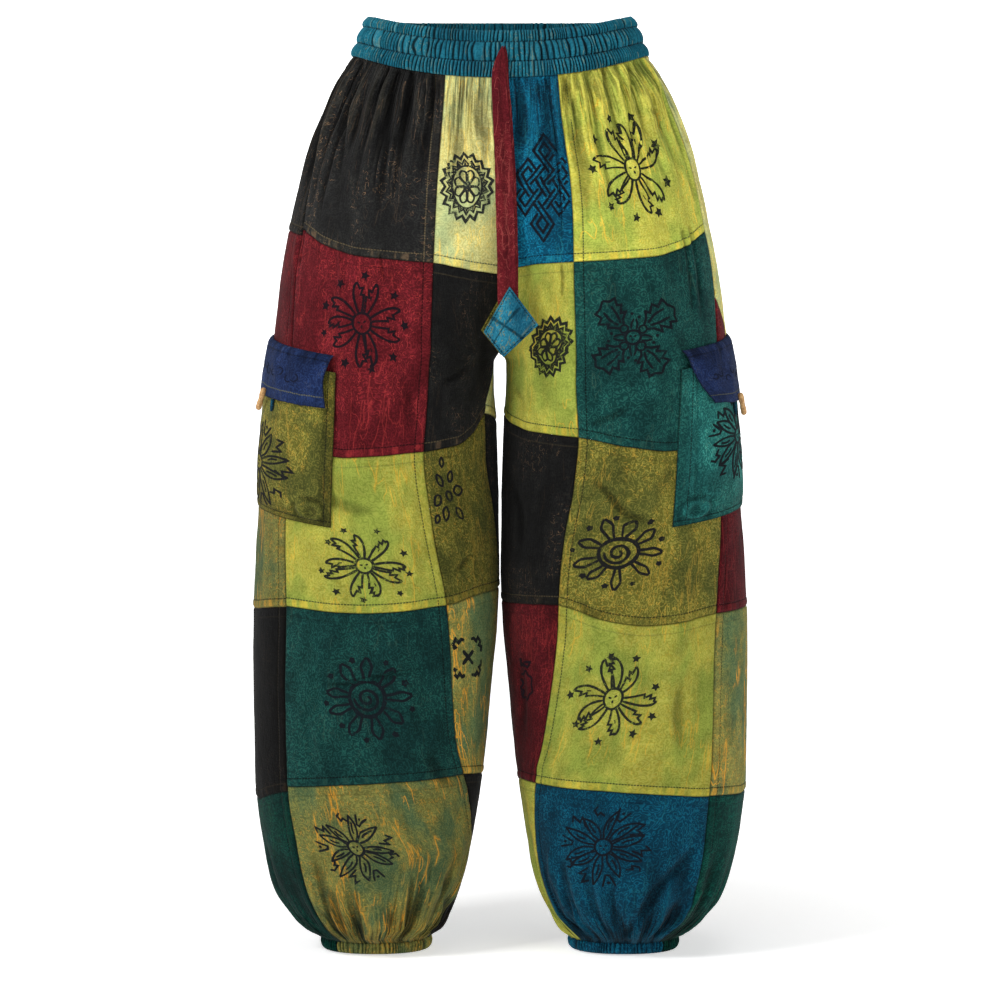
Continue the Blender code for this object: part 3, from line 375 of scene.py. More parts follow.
# Depth of the narrow pleats that run out of the waist seam and out of the cuffs
PLEATS = Table(
    ("level", "depth"),
    (
        (-0.9600, 0.0018), (-0.9500, 0.0027), (-0.9250, 0.0018), (-0.8850, 0.0004), (-0.8500, 0.0),
        (-0.2000, 0.0), (-0.1600, 0.0005), (-0.0900, 0.0015), (-0.0400, 0.0024), (-0.0231, 0.0020),
    ),
)
PLEAT_SIZE = {"waist": 0.0038, "cuff": 0.0030}
PLEAT_REACH = 0.030
# Above this level pleats come from the waist, and below it from the cuff
LEG_MIDDLE = -0.5
PLEAT_FADE = 0.007
CREASE_STRENGTH = 1.9
# Shares of a crease's length over which a free start rises, and from which a free end fades
CREASE_RISE = 0.35
CREASE_FALL = 0.5
# The back's creases are on cloth behind this y
CREASE_BACK_Y = 0.02
CREASE_POINTS = 25

# Creases placed on the front and on the back, in millimetres: x, z, x, z and so on down the
# crease's line, its half width, its depth before CREASE_STRENGTH (a ridge where positive), and the
# end that a seam holds.
CREASES = {
    "front": (
        # black panel under the waistband
        ((-143, -18, -144, -37, -153, -66, -160, -119, -168, -170, -169, -200), 6, -2.8, "top"),
        ((-100, -22, -105, -40, -110, -68, -114, -108, -119, -150, -127, -214), 7, -2.4, "top"),
        ((-70, -26, -69, -72, -68, -134), 4, -1.3, "top"),
        ((-122, -20, -128, -46, -133, -70, -139, -110), 7, 1.9, "top"),
        ((-135, -22, -146, -40, -151, -74, -159, -124, -168, -182), 4, 1.6, "top"),
        ((-145, -20, -160, -46, -168, -66, -178, -96, -187, -146, -190, -182), 6, 2.0, "top"),
        ((-156, -24, -173, -57, -184, -88, -200, -160, -203, -194), 6, -2.3, "top"),
        ((-84, -24, -86, -66, -84, -112), 5, 1.3, "top"),
        ((-75, -30, -74, -56, -71, -80), 3, 1.0, "top"),
        ((-95, -28, -90, -44, -93, -70), 4, -1.1, "top"),
        # lime panel under the waistband
        ((91, -24, 97, -36, 104, -41), 4, -1.7, "top"),
        ((101, -24, 108, -52, 106, -84), 4, -1.6, "top"),
        ((112, -24, 117, -50, 116, -76), 5, 1.3, "top"),
        ((119, -24, 129, -57, 134, -82), 5, 1.4, "top"),
        ((127, -26, 134, -45, 135, -84), 4, -1.9, "top"),
        ((138, -27, 148, -51, 160, -69), 4, -1.6, "top"),
        ((146, -28, 158, -48, 172, -78), 5, 1.6, "top"),
        ((154, -28, 170, -58, 184, -96), 4, -1.7, "top"),
        ((139, -81, 153, -86, 175, -87), 4, -1.1, ""),
        ((158, -100, 170, -102, 183, -99), 4, -0.8, ""),
        ((75, -28, 78, -58, 76, -96), 5, -1.2, "top"),
        # blue and lime inner patches: a tuck
        ((42, -40, 52, -78, 60, -150, 63, -222, 63, -247), 2, -1.5, "top"),
        ((38, -40, 47, -78, 55, -150, 58, -222, 58, -247), 6, 1.1, "top"),
        ((63, -247, 64, -262, 63, -284), 3, -1.1, "top"),
        ((28, -34, 24, -70, 26, -110), 4, -1.1, "top"),
        ((-30, -34, -36, -74, -38, -128), 4, -1.0, "top"),
        ((-50, -34, -47, -60, -52, -96), 4, 1.0, "top"),
        ((-12, -300, -18, -352, -14, -398), 8, -1.4, ""),
        ((-28, -346, -44, -358, -67, -371), 5, -1.3, ""),
        ((12, -368, 19, -379, 28, -390), 4, -0.9, ""),
        ((-24, -540, -36, -552, -51, -568), 4, -1.2, ""),
        ((-16, -560, -30, -575, -46, -584), 5, 0.9, ""),
        # red, lime and teal main patches of the left leg
        ((-165, -220, -162, -258, -166, -300), 4, 1.0, "top"),
        ((-122, -236, -120, -250, -116, -268), 3, -1.0, "top"),
        ((-170, -338, -174, -380, -166, -420), 7, -1.4, ""),
        ((-100, -352, -92, -388, -96, -424), 9, -1.2, ""),
        ((-190, -470, -160, -492, -120, -498), 10, -1.5, ""),
        ((-84, -470, -92, -520, -82, -574), 9, 1.2, ""),
        ((-60, -642, -80, -660, -112, -666, -166, -676, -205, -673), 4, -1.6, ""),
        ((-66, -654, -86, -671, -116, -677, -160, -686), 6, 0.9, ""),
        ((-76, -744, -64, -768, -50, -792), 11, -1.5, ""),
        ((-196, -700, -188, -740, -190, -778), 9, 1.2, ""),
        # teal, olive and lime main patches of the right leg
        ((84, -410, 110, -402, 141, -384), 6, -1.4, ""),
        ((88, -422, 116, -414, 148, -398), 7, 0.9, ""),
        ((196, -206, 205, -255, 209, -310), 3, -1.4, "top"),
        ((188, -210, 196, -258, 199, -306), 3, -1.2, "top"),
        ((192, -208, 200, -258, 204, -308), 3, 0.8, "top"),
        ((-203, -208, -206, -230, -209, -256), 3, -1.4, "top"),
        ((-210, -208, -213, -232, -216, -258), 4, 0.9, "top"),
        ((88, -458, 106, -474, 130, -500, 150, -507, 170, -514), 5, -1.8, ""),
        ((93, -448, 114, -464, 140, -490), 7, 1.0, ""),
        ((74, -586, 98, -604, 116, -594), 8, -1.3, ""),
        ((160, -540, 166, -570, 162, -610), 6, 0.9, ""),
        ((70, -628, 84, -650, 80, -690), 9, 1.1, ""),
        ((190, -660, 184, -710, 190, -760), 10, -1.3, ""),
        ((10, -460, 22, -510, 18, -570), 6, -1.1, ""),
        ((16, -640, 24, -690, 22, -760), 6, -1.4, ""),
        ((-20, -640, -28, -700, -24, -770), 7, 1.1, ""),
        # above the cuffs
        ((-54, -872, -56, -925, -72, -948), 8, -2.6, "end"),
        ((-80, -846, -78, -892, -86, -940), 6, 2.0, "end"),
        ((-92, -870, -94, -906, -100, -946), 5, -2.0, "end"),
        ((-148, -958, -126, -951, -108, -942, -88, -932, -76, -922), 4, 1.6, ""),
        ((-178, -880, -170, -918, -160, -950), 7, -1.8, "end"),
        ((212, -842, 191, -864, 168, -892, 148, -920, 136, -944), 9, -2.8, "end"),
        ((202, -872, 190, -900, 170, -930), 11, 2.0, ""),
        ((74, -922, 98, -944, 112, -954), 7, 1.9, ""),
        ((66, -898, 76, -934, 92, -956), 5, -1.8, "end"),
        ((54, -846, 54, -880, 60, -910), 5, 1.4, ""),
        ((150, -958, 168, -945, 188, -941), 4, -1.9, ""),
        ((172, -958, 190, -930, 208, -900), 5, 1.7, "end"),
    ),
    "back": (
        ((-150, -22, -158, -66, -172, -150), 6, -2.4, "top"),
        ((-128, -20, -136, -52, -140, -96), 6, 1.9, "top"),
        ((-108, -20, -112, -70, -126, -170), 7, -2.3, "top"),
        ((-82, -18, -84, -60, -80, -120), 5, 1.4, "top"),
        ((-60, -16, -58, -66, -62, -140), 5, -1.5, "top"),
        ((-28, -16, -34, -60, -32, -120), 5, -1.3, "top"),
        ((30, -16, 27, -56, 33, -130), 5, -1.4, "top"),
        ((64, -16, 70, -56, 68, -96), 5, 1.3, "top"),
        ((92, -18, 100, -64, 98, -150), 6, -2.2, "top"),
        ((120, -20, 130, -58, 142, -110), 6, 1.8, "top"),
        ((140, -22, 156, -74, 170, -170), 7, -2.5, "top"),
        ((-10, -290, -34, -330, -76, -360), 7, -1.6, ""),
        ((10, -300, 30, -346, 70, -392), 7, -1.7, ""),
        ((-190, -250, -168, -300, -172, -370), 8, 1.4, ""),
        ((-120, -300, -100, -350, -108, -410), 8, -1.5, ""),
        ((176, -260, 160, -320, 168, -390), 9, -1.5, ""),
        ((110, -340, 124, -390, 110, -430), 7, 1.2, ""),
        ((-200, -470, -150, -500, -96, -496), 8, -1.6, ""),
        ((-60, -500, -86, -540, -130, -560), 7, 1.1, ""),
        ((90, -470, 130, -505, 186, -510), 8, -1.7, ""),
        ((60, -560, 84, -590, 130, -596), 8, 1.2, ""),
        ((-70, -650, -110, -672, -176, -676), 6, -1.5, ""),
        ((-190, -700, -180, -750, -192, -790), 9, 1.3, ""),
        ((80, -660, 92, -710, 84, -770), 9, -1.4, ""),
        ((200, -650, 186, -700, 190, -770), 9, 1.2, ""),
        ((-196, -850, -176, -890, -154, -944), 8, -2.5, "end"),
        ((-140, -872, -134, -910, -136, -950), 7, 1.9, "end"),
        ((-80, -868, -86, -906, -98, -948), 6, -2.0, "end"),
        ((84, -862, 86, -904, 100, -948), 7, -2.2, "end"),
        ((136, -880, 140, -914, 134, -950), 7, 1.8, "end"),
        ((204, -846, 186, -890, 160, -944), 9, -2.5, "end"),
    ),
}


# How much lighter or darker a patch is than its cloth's usual dye
DYES = {
    "left_front_main_1": 2.13, "left_front_inner_2": 1.33, "right_front_inner_3": 0.92,
    "left_back_main_4": 0.31, "left_front_main_2": 1.33, "right_front_inner_4": 0.83,
    "right_back_main_3": 0.84, "right_front_main_1": 1.44, "right_front_inner_2": 0.99,
    "left_front_main_3": 0.89, "right_front_main_4": 0.84, "right_front_main_2": 0.82,
    "left_front_main_4": 0.58, "left_back_main_3": 0.76, "left_front_inner_4": 1.28,
    "right_back_main_4": 1.20, "left_front_main_5": 0.90, "right_front_inner_1": 1.50,
    "right_front_main_5": 0.71, "left_front_inner_3": 0.79, "right_front_main_3": 1.10,
    "left_back_main_5": 0.75, "right_back_main_5": 1.35, "right_pocket": 2.22, "left_pocket": 1.13,
}


# ---------------------------------------------------------------- the leg's surface
def blend(start, end, share):
    """Value a share of the way from start to end."""
    return start + (end - start) * share


def bell(away, width):
    """1 at a line, fading on both sides of it."""
    return np.exp(-(away / width) ** 2)


def smooth(value, low, high):
    """0 below low, 1 above high, and a soft step between them."""
    share = np.clip((value - low) / (high - low), 0.0, 1.0)
    return share * share * (3 - 2 * share)


def between(value, low, high, soft):
    """1 from low to high and 0 outside, with soft ends."""
    return smooth(value, low - soft, low + soft) * (1 - smooth(value, high - soft, high + soft))


def joined(*parts):
    """Arrays and numbers of one shape, side by side along a new last axis."""
    return np.stack(np.broadcast_arrays(*parts), axis=-1)


LATTICE_SIDE = 32
LATTICE = np.random.default_rng(11).random((LATTICE_SIDE,) * 3)


def noise(points, size):
    """Smooth noise from -1 to 1, with bumps of about that size in metres."""
    where = np.asarray(points) / size
    cell = np.floor(where).astype(int)
    part = where - cell
    part = part * part * (3 - 2 * part)
    total = 0.0
    for corner in np.ndindex(2, 2, 2):
        weight = np.prod(np.where(np.array(corner) == 1, part, 1 - part), axis=-1)
        index = (cell + corner) % LATTICE_SIDE
        total = total + weight * LATTICE[index[..., 0], index[..., 1], index[..., 2]]
    return 2 * total - 1


def ripple(size, *place):
    """Noise with bumps of a size, at a place given by its three coordinates."""
    return noise(joined(*place), size)


def section(level):
    """Middle x, half width and lean towards the centre plane of the leg's section."""
    outer = SECTIONS.read("outer", level)
    inner = SECTIONS.read("inner", level)
    fall = np.clip((BAND_BOTTOM - level) / (BAND_BOTTOM - CROTCH), 0.0, 1.0)
    rise = np.sqrt(1.0 - fall ** RISE_POWER)
    lean = (1.0 - rise ** ROUNDNESS) ** (1.0 / ROUNDNESS)
    half = np.where(level > CROTCH, outer / (1.0 + lean), (outer - inner) / 2)
    return outer - half, half, lean


def centre_turn(level):
    """Turn at which the front of the section meets the centre plane, above the crotch."""
    lean = section(level)[2]
    return np.degrees(np.arccos(-lean ** (ROUNDNESS / 2)))


def leg_point(turn, level):
    """Point of the smooth right leg, before gathers and folds."""
    middle, half, _ = section(level)
    angle = np.radians(turn)
    across = np.sign(np.cos(angle)) * np.abs(np.cos(angle)) ** (2 / ROUNDNESS)
    forward = np.sign(np.sin(angle)) * np.abs(np.sin(angle)) ** (2 / ROUNDNESS)
    depth = np.where(forward > 0, SECTIONS.read("front", level), SECTIONS.read("back", level))
    tilt = SECTIONS.read("lift", level) * np.clip(-forward, 0, None) ** 2
    tilt -= SECTIONS.read("drop", level) * np.clip(forward, 0, None) ** 2
    x = middle + half * across
    y = SECTIONS.read("centre_y", level) - depth * forward
    return joined(x, y, level + tilt)


def unit(vectors):
    """Vectors scaled to length one."""
    return vectors / np.linalg.norm(vectors, axis=-1, keepdims=True)


def outward(turn, level):
    """Level direction square to the smooth leg."""
    along = leg_point(turn + TURN_STEP, level) - leg_point(turn - TURN_STEP, level)
    flat = joined(-along[..., 1], along[..., 0], np.zeros_like(along[..., 0]))
    return unit(flat)


def fold_relief(leg, turn, level):
    """How far the large folds stand out of the smooth leg, or in where negative."""
    relief = np.zeros_like(turn)
    radius = section(level)[1]
    for fold in FOLDS:
        row = dict(zip(FOLD_NAMES, fold))
        if row["leg"] != leg:
            continue
        down = (level - row["level_top"]) / (row["level_end"] - row["level_top"])
        line = blend(row["turn_top"], row["turn_end"], np.clip(down, 0, 1))
        away = np.radians((turn - line + 180) % 360 - 180) * radius / row["half_width"]
        across = np.cos(np.clip(away, -1, 1) * math.pi / 2) ** 2
        fade = np.sin(np.clip(down, 0, 1) * math.pi) ** 0.7
        relief += row["depth"] * across * fade
    return relief


def seam_turn(leg, name, level):
    """Turn of an upright seam at a level, on the front or, for the rear seam, on the back."""
    middle, half, _ = section(level)
    across = np.clip((UPRIGHT_SEAMS[leg].read(name, level) - middle) / half, -0.998, 0.998)
    turn = np.degrees(np.arccos(np.sign(across) * np.abs(across) ** (ROUNDNESS / 2)))
    return 360.0 - turn if name == "rear" else turn


def column_turn(leg, column, share, level):
    """Turn at a share of the way across a column of patches."""
    inseam = UPRIGHT_SEAMS[leg].read("inseam_turn", level)
    above = level > CROTCH
    if column == "front_main":
        start = seam_turn(leg, "side", level)
        end = seam_turn(leg, "main", level)
    elif column == "front_inner":
        start = seam_turn(leg, "main", level)
        end = np.where(above, centre_turn(level), inseam)
    elif column == "back_inner":
        start = np.where(above, 360.0 - centre_turn(level), inseam)
        end = seam_turn(leg, "rear", level)
    else:
        start = seam_turn(leg, "rear", level)
        end = seam_turn(leg, "side", level) + 360.0
    sway = GATHER_SWAY[0] * np.sin(2 * math.pi * share) + GATHER_SWAY[1] * np.sin(6 * math.pi * share)
    return blend(start, end, share + sway)


def cross_seam(leg, column, seam, share):
    """Level of a cross seam at a share of a column's width; 0 is the waist seam, 5 the cuff's."""
    if seam == 0:
        return np.full_like(share, BAND_BOTTOM)
    if seam == 5:
        return np.full_like(share, CUFF_TOP)
    heights = dict(zip(CROSS_NAMES, CROSS_SEAMS[leg][seam - 1]))
    rows = [(place, heights[name]) for place, name in CROSS_PLACES[column]]
    return Table(("share", "level"), rows).read("level", share)


def mirrored(points, leg):
    """Points of the right-hand side, moved to the given leg."""
    return points * np.array((SIDES[leg], 1.0, 1.0))


class Arcs:
    """Distances across a column of patches, measured on the smooth leg."""

    shares = np.linspace(0.0, 1.0, 65)
    levels = np.linspace(CUFF_TOP, BAND_BOTTOM, 200)

    def __init__(self, leg, column):
        share, level = np.meshgrid(self.shares, self.levels)
        points = leg_point(column_turn(leg, column, share, level), level)
        steps = np.linalg.norm(np.diff(points, axis=1), axis=-1)
        self.table = np.concatenate((np.zeros((len(steps), 1)), np.cumsum(steps, axis=1)), axis=1)

    def read(self, share, level):
        """Distance from the column's start."""
        row = np.interp(level, self.levels, np.arange(len(self.levels)))
        place = np.interp(share, self.shares, np.arange(len(self.shares)))
        i = np.minimum(row.astype(int), len(self.levels) - 2)
        j = np.minimum(place.astype(int), len(self.shares) - 2)
        upper = blend(self.table[i, j], self.table[i, j + 1], place - j)
        lower = blend(self.table[i + 1, j], self.table[i + 1, j + 1], place - j)
        return blend(upper, lower, row - i)

    def shares_at(self, distances, level):
        """Shares at distances from the column's start, all at one level."""
        row = np.interp(level, self.levels, np.arange(len(self.levels)))
        i = min(int(row), len(self.levels) - 2)
        return np.interp(distances, blend(self.table[i], self.table[i + 1], row - i), self.shares)


ARCS = {(leg, column): Arcs(leg, column) for leg in SIDES for column in COLUMNS}


def crease_lines():
    """The creases with their lines smoothed into short steps, in metres."""
    made = []
    for face, rows in CREASES.items():
        for places, half_width, depth, held in rows:
            line = np.array(places, float).reshape(-1, 2) / 1000
            along = np.concatenate(([0.0], np.cumsum(np.linalg.norm(np.diff(line, axis=0), axis=1))))
            table = Table(("along", "x", "z"), [(a, *place) for a, place in zip(along, line)])
            steps = np.linspace(0.0, along[-1], CREASE_POINTS)
            made.append({
                "face": face,
                "line": joined(table.read("x", steps), table.read("z", steps)),
                "half_width": half_width / 1000,
                "depth": depth * (CREASE_STRENGTH / 1000),
                "held": held,
                "number": len(made),
            })
    return made


CREASE_LINES = crease_lines()


def crease_relief(points):
    """How far the listed creases stand out at points of the smooth leg."""
    flat = points.reshape(-1, 3)
    relief = np.zeros(len(flat))
    seen = flat[:, [0, 2]]
    faces = {"front": flat[:, 1] < 0.0, "back": flat[:, 1] > CREASE_BACK_Y}
    for row in CREASE_LINES:
        line = row["line"]
        reach = row["half_width"] * 1.2
        near = (seen > line.min(axis=0) - reach) & (seen < line.max(axis=0) + reach)
        index = np.nonzero(near.all(axis=1) & faces[row["face"]])[0]
        if not len(index):
            continue
        spots = seen[index]
        best = np.full(len(index), np.inf)
        place = np.zeros(len(index))
        for step, (a, b) in enumerate(zip(line, line[1:])):
            side = b - a
            share = np.clip((spots - a) @ side / (side @ side), 0.0, 1.0)
            away = np.linalg.norm(spots - a - share[:, None] * side, axis=1)
            place = np.where(away < best, (step + share) / (len(line) - 1), place)
            best = np.minimum(away, best)
        across = np.cos(np.clip(best / row["half_width"], 0, 1) * math.pi / 2) ** 2
        start = 1.0 if row["held"] == "top" else smooth(place, 0.0, CREASE_RISE)
        end = 1.0 if row["held"] == "end" else 1 - smooth(place, CREASE_FALL, 1.0)
        uneven = 1 + 0.3 * ripple(0.02, place * 0.1, 0.0, row["number"])
        relief[index] += row["depth"] * across * start * end * uneven
    return relief.reshape(points.shape[:-1])


def gather_relief(column, share, level, spot):
    """The gathers under the waistband and above the cuff, uneven in depth and place."""
    wander = 0.30 * noise(spot * (1, 1, 0.4), 0.05)
    uneven = 0.9 + 0.60 * noise(spot * (1, 1, 0.3) + 3.0, 0.026)
    relief = 0.0
    for kind, counts in (("waist", WAIST_GATHERS), ("cuff", CUFF_GATHERS)):
        phase = 2 * math.pi * (counts[column] * share + wander)
        wave = 1 - 2 * (0.5 - 0.5 * np.cos(phase)) ** 1.4
        relief = relief + GATHER_DEPTH.read(kind, level) * wave
    return relief * uneven


def pleat_relief(leg, column, share, level, number):
    """Narrow pleats from the waist seam and the cuff, each with its own depth and length."""
    end = np.where(level > LEG_MIDDLE, BAND_BOTTOM, CUFF_TOP + 0.004)
    across = share * ARCS[leg, column].read(np.ones_like(share), end)
    reach = PLEAT_REACH * ripple(0.008, across, 0 * across, number)
    size = PLEAT_SIZE["waist" if level.mean() > LEG_MIDDLE else "cuff"]
    narrow = ripple(size, across, level * 0.06, number + 0.5)
    broad = ripple(3 * size, across, level * 0.10, number + 1.0)
    return PLEATS.read("depth", level + reach) * (2.4 * np.abs(narrow) - 0.8 + 0.8 * broad)


# The cloth behind the straps: its sides and their softness, and the levels over which it ends
STRAPS_ACROSS = (-0.022, 0.045, 0.005)
STRAPS_FOOT = (-0.356, -0.346)


def free_cloth(leg, turn, level, spot):
    """1 on open cloth, and 0 under a pocket, a flap or the straps, where relief stays low."""
    sizes = POCKETS[leg]
    wrapped = (turn + 180) % 360 - 180
    straight = level - POCKET_SLOPE * wrapped
    front_edge = max(sizes["turn_top"], sizes["turn_bottom"], sizes["flap_turns"][0])
    pocket_here = between(wrapped, POCKET_REAR_TURN - 3.0, front_edge + 2.0, 3.0)
    pocket_here = pocket_here * between(straight, sizes["bottom"] - 0.002, sizes["flap_top"] + 0.002, 0.004)
    strap_here = between(spot[..., 0], *STRAPS_ACROSS) * (spot[..., 1] < 0)
    return 1 - np.maximum(pocket_here, strap_here * smooth(level, *STRAPS_FOOT))


def patch_distances(leg, column, row, share, level):
    """Distances of places on a patch from its edges, from its stitched hem and from its stitched sides."""
    start = ARCS[leg, column].read(share, level)
    end = ARCS[leg, column].read(np.ones_like(share), level) - start
    away = {
        "start": start,
        "end": end,
        "across": np.minimum(start, end),
        "top": cross_seam(leg, column, row - 1, share) - level,
        "bottom": level - cross_seam(leg, column, row, share),
    }
    nowhere = np.full_like(share, FAR)
    away["edge"] = np.minimum(away["across"], np.minimum(away["top"], away["bottom"]))
    away["hem"] = away["bottom"] if row < 5 else nowhere
    away["side"] = {"front_main": end, "back_main": away["across"]}.get(column, nowhere)
    return away


def sewing_relief(away, level, number):
    """How far seams, allowances, stitches and puckers stand out, and the puckers by themselves."""
    relief = -SEAM_DIP * bell(away["edge"], SEAM_WIDTH)
    for line, stitched in (("hem", HEM_STITCH), ("side", SIDE_STITCH)):
        relief += ALLOWANCE * between(away[line], ALLOWANCE_START, stitched - ALLOWANCE_END, 0.0007)
        relief -= STITCH_DIP * bell(away[line] - stitched, STITCH_WIDTH)
    hem_wave = ripple(PUCKER_SIZE, away["start"], away["bottom"] * PUCKER_DRAWN, number)
    side_wave = ripple(PUCKER_SIZE, level, away["side"] * PUCKER_DRAWN, number + 0.2)
    top_wave = ripple(PUCKER_SIZE, away["start"], away["top"] * PUCKER_DRAWN, number + 0.1)
    pucker = hem_wave * between(away["hem"], PUCKER_START, HEM_STITCH + 0.0010, PUCKER_SOFT)
    pucker += 0.7 * side_wave * between(away["side"], PUCKER_START, SIDE_STITCH + 0.0008, PUCKER_SOFT)
    above_hem = 0.5 * hem_wave * between(away["hem"], HEM_STITCH + 0.0010, 0.018, 0.003)
    under_seam = 0.6 * top_wave * between(away["top"], 0.0005, 0.008, 0.003)
    return relief + PUCKER * (pucker + above_hem + under_seam), pucker


def ruched(relief, away, line, number, reach):
    """Relief with tight ruching beside an elastic casing, which it doesn't sink behind."""
    ruche = ripple(RUCHE_SIZE, away["start"], away[line] * 0.2, number) * smooth(away["across"], 0.0, 0.004)
    relief = relief + RUCHE_DEPTH * ruche * (1 - smooth(away[line], 0.002, NEAR_WAIST))
    return np.maximum(relief, blend(0.0, -RUCHE_SINK, smooth(away[line], 0.0005, reach)))


def cloth_surface(leg, column, row, share, level, lift=0.0):
    """Outer points of a patch with all their relief, and the facts that its material reads."""
    turn = column_turn(leg, column, share, level)
    base = leg_point(turn, level)
    spot = mirrored(base, leg)
    away = patch_distances(leg, column, row, share, level)
    number = PATCH_SHIFT * (COLUMNS.index(column) * len(ROWS) + row + (20 if leg == "left" else 0))

    free = free_cloth(leg, turn, level, spot)
    gathers = gather_relief(column, share, level, spot)
    gathers = np.minimum(gathers, blend(GATHER_DEPTH.read("waist", level), 0.01, free))
    creases = crease_relief(spot)
    pleats = pleat_relief(leg, column, share, level, number) * smooth(away["across"], 0.0, PLEAT_FADE)
    soft = sum(height * noise(spot * (1, 1, drawn), size) for height, size, drawn in SOFTNESS)
    finer = creases + pleats + soft
    sewn, pucker = sewing_relief(away, level, number)
    relief = gathers + fold_relief(leg, turn, level) + finer * np.where(finer > 0, free, 1.0) + sewn
    if row == 1:
        relief = ruched(relief, away, "top", number, 0.005)
    if row == 5:
        relief = ruched(relief, away, "bottom", number, 0.006)

    push = outward(turn, level) * (relief + lift)[..., None]
    if column in CENTRE_SEAM_AT:
        # Beside a centre seam the cloth moves straight forward or back, so that the legs' patches meet
        above_crotch = smooth(level, CROTCH, CROTCH + CENTRE_FADE)
        push[..., 0] *= blend(1.0, smooth(away[CENTRE_SEAM_AT[column]], 0.0, CENTRE_REACH), above_crotch)
    points = base + push
    points[..., 0] = np.maximum(points[..., 0], VISUAL_GAP / 2)

    half = np.full(1, 0.5)
    middle = (cross_seam(leg, column, row - 1, half) + cross_seam(leg, column, row, half)) / 2
    width = ARCS[leg, column].read(np.ones(1), middle)
    dye = DYES.get(f"{leg}_{column}_{row}", 1.0)
    facts = {
        "cloth": joined(share * width + 4.6 * number, 2.3 * number - level, dye - 1),
        "hem": joined(away["hem"], away["start"], away["top"] + (FAR if row == 1 else 0.0)),
        "side": joined(away["side"], -level, away["edge"]),
        "pucker": pucker,
        # Relief: rubbed marks on ridges, painted shade in hollows and lighter ridges as painted highlight
        "wear_and_shade": (gathers + creases + 2.0 * pleats) / SHADE_AND_WEAR_DEPTH,
        # How full the fine tucks are: their bump, and painted shade in their valleys
        "gather": (PLEATS.read("depth", level) / FULL_PLEAT) ** 2,
    }
    return mirrored(points, leg), facts


def patch_grid(leg, column, row):
    """Shares and levels of a patch's points: close together at its edges, and even between them."""
    arcs = ARCS[leg, column]

    def edges(share):
        """Levels of the patch's upper and lower edge."""
        upper = cross_seam(leg, column, row - 1, share) - VISUAL_GAP / 2
        return upper, cross_seam(leg, column, row, share) + VISUAL_GAP / 2

    def width_at(level):
        """Width of the column at a level."""
        return float(arcs.read(np.ones(1), np.array([level]))[0])

    def levels_of(kind, amount, share):
        """Levels of one row of points."""
        upper, lower = edges(share)
        if kind == "top":
            return upper - amount
        if kind == "bottom":
            return lower + amount
        return blend(upper - TOP_DISTANCES[-1], lower + BOTTOM_DISTANCES[-1], amount)

    guess = np.linspace(0.0, 1.0, 33)
    top, bottom = edges(guess)
    even_height = (top - bottom).max() - TOP_DISTANCES[-1] - BOTTOM_DISTANCES[-1]
    even_width = max(map(width_at, np.linspace(bottom.min(), top.max(), 12))) - 2 * EDGE_DISTANCES[-1]
    # Rows and columns are odd in number, so that every second one meets both edges
    rows_between = max(FEWEST_ROWS, math.ceil(even_height / ROW_STEP))
    rows_between += (rows_between + len(TOP_DISTANCES) + len(BOTTOM_DISTANCES)) % 2
    columns_between = max(FEWEST_COLUMNS, math.ceil(even_width / COLUMN_STEP[column]))
    columns_between += columns_between % 2
    downs = [("top", distance) for distance in TOP_DISTANCES[:-1]]
    downs += [("between", share) for share in np.linspace(0.0, 1.0, rows_between + 1)]
    downs += [("bottom", distance) for distance in reversed(BOTTOM_DISTANCES[:-1])]
    shares = []
    levels = []
    for kind, amount in downs:
        share = guess
        for _ in range(2):
            middle_level = float(levels_of(kind, amount, share).mean())
            width = width_at(middle_level)
            start = np.array(EDGE_DISTANCES) * min(1.0, width / NARROW_PATCH)
            start[0] = VISUAL_GAP / 2
            inside = np.linspace(start[-1], width - start[-1], columns_between + 1)[1:-1]
            share = arcs.shares_at(np.concatenate((start, inside, (width - start)[::-1])), middle_level)
        shares.append(share)
        levels.append(levels_of(kind, amount, share))
    return np.array(shares), np.array(levels)


# ---------------------------------------------------------------- meshes
def grid_faces(numbers):
    """Four-sided faces over a grid of vertex numbers."""
    corners = (numbers[:-1, :-1], numbers[:-1, 1:], numbers[1:, 1:], numbers[1:, :-1])
    return np.stack(corners, axis=-1).reshape(-1, 4).tolist()


def zip_rows(faces, upper, lower):
    """Triangles between two rows of vertex numbers, which may differ in count."""
    i = 0
    j = 0
    last_i = len(upper) - 1
    last_j = len(lower) - 1
    while i < last_i or j < last_j:
        if j == last_j or (i < last_i and (i + 1) * last_j <= (j + 1) * last_i):
            faces.append((upper[i], lower[j], upper[i + 1]))
            i += 1
        else:
            faces.append((upper[i], lower[j], lower[j + 1]))
            j += 1


def show(name, data):
    """A new object in the scene for a mesh, lamp or camera."""
    made = bpy.data.objects.new(name, data)
    bpy.context.scene.collection.objects.link(made)
    return made


def mesh_object(name, points, faces, materials, facts=None, sharp=50):
    """An object from points and faces, its faces turned outward, with values on its points."""
    mesh = bpy.data.meshes.new(name)
    mesh.from_pydata(np.asarray(points).tolist(), [], faces)
    body = bmesh.new()
    body.from_mesh(mesh)
    bmesh.ops.recalc_face_normals(body, faces=body.faces)
    body.to_mesh(mesh)
    body.free()
    for key, values in (facts or {}).items():
        kind, field = ("FLOAT_VECTOR", "vector") if values.ndim == 2 else ("FLOAT", "value")
        mesh.attributes.new(key, kind, "POINT").data.foreach_set(field, values.astype(np.float32).ravel())
    for finish in materials if isinstance(materials, list) else [materials]:
        mesh.materials.append(finish)
    mesh.shade_smooth()
    mesh.set_sharp_from_angle(angle=math.radians(sharp))
    return show(name, mesh)


def tube_faces(rows, around):
    """Faces of a tube, from its rows of points, with flat ends."""
    numbers = np.arange(rows * around).reshape(rows, around)
    wrapped = np.concatenate((numbers, numbers[:, :1]), axis=1)
    return grid_faces(wrapped) + [tuple(numbers[0]), tuple(reversed(numbers[-1]))]


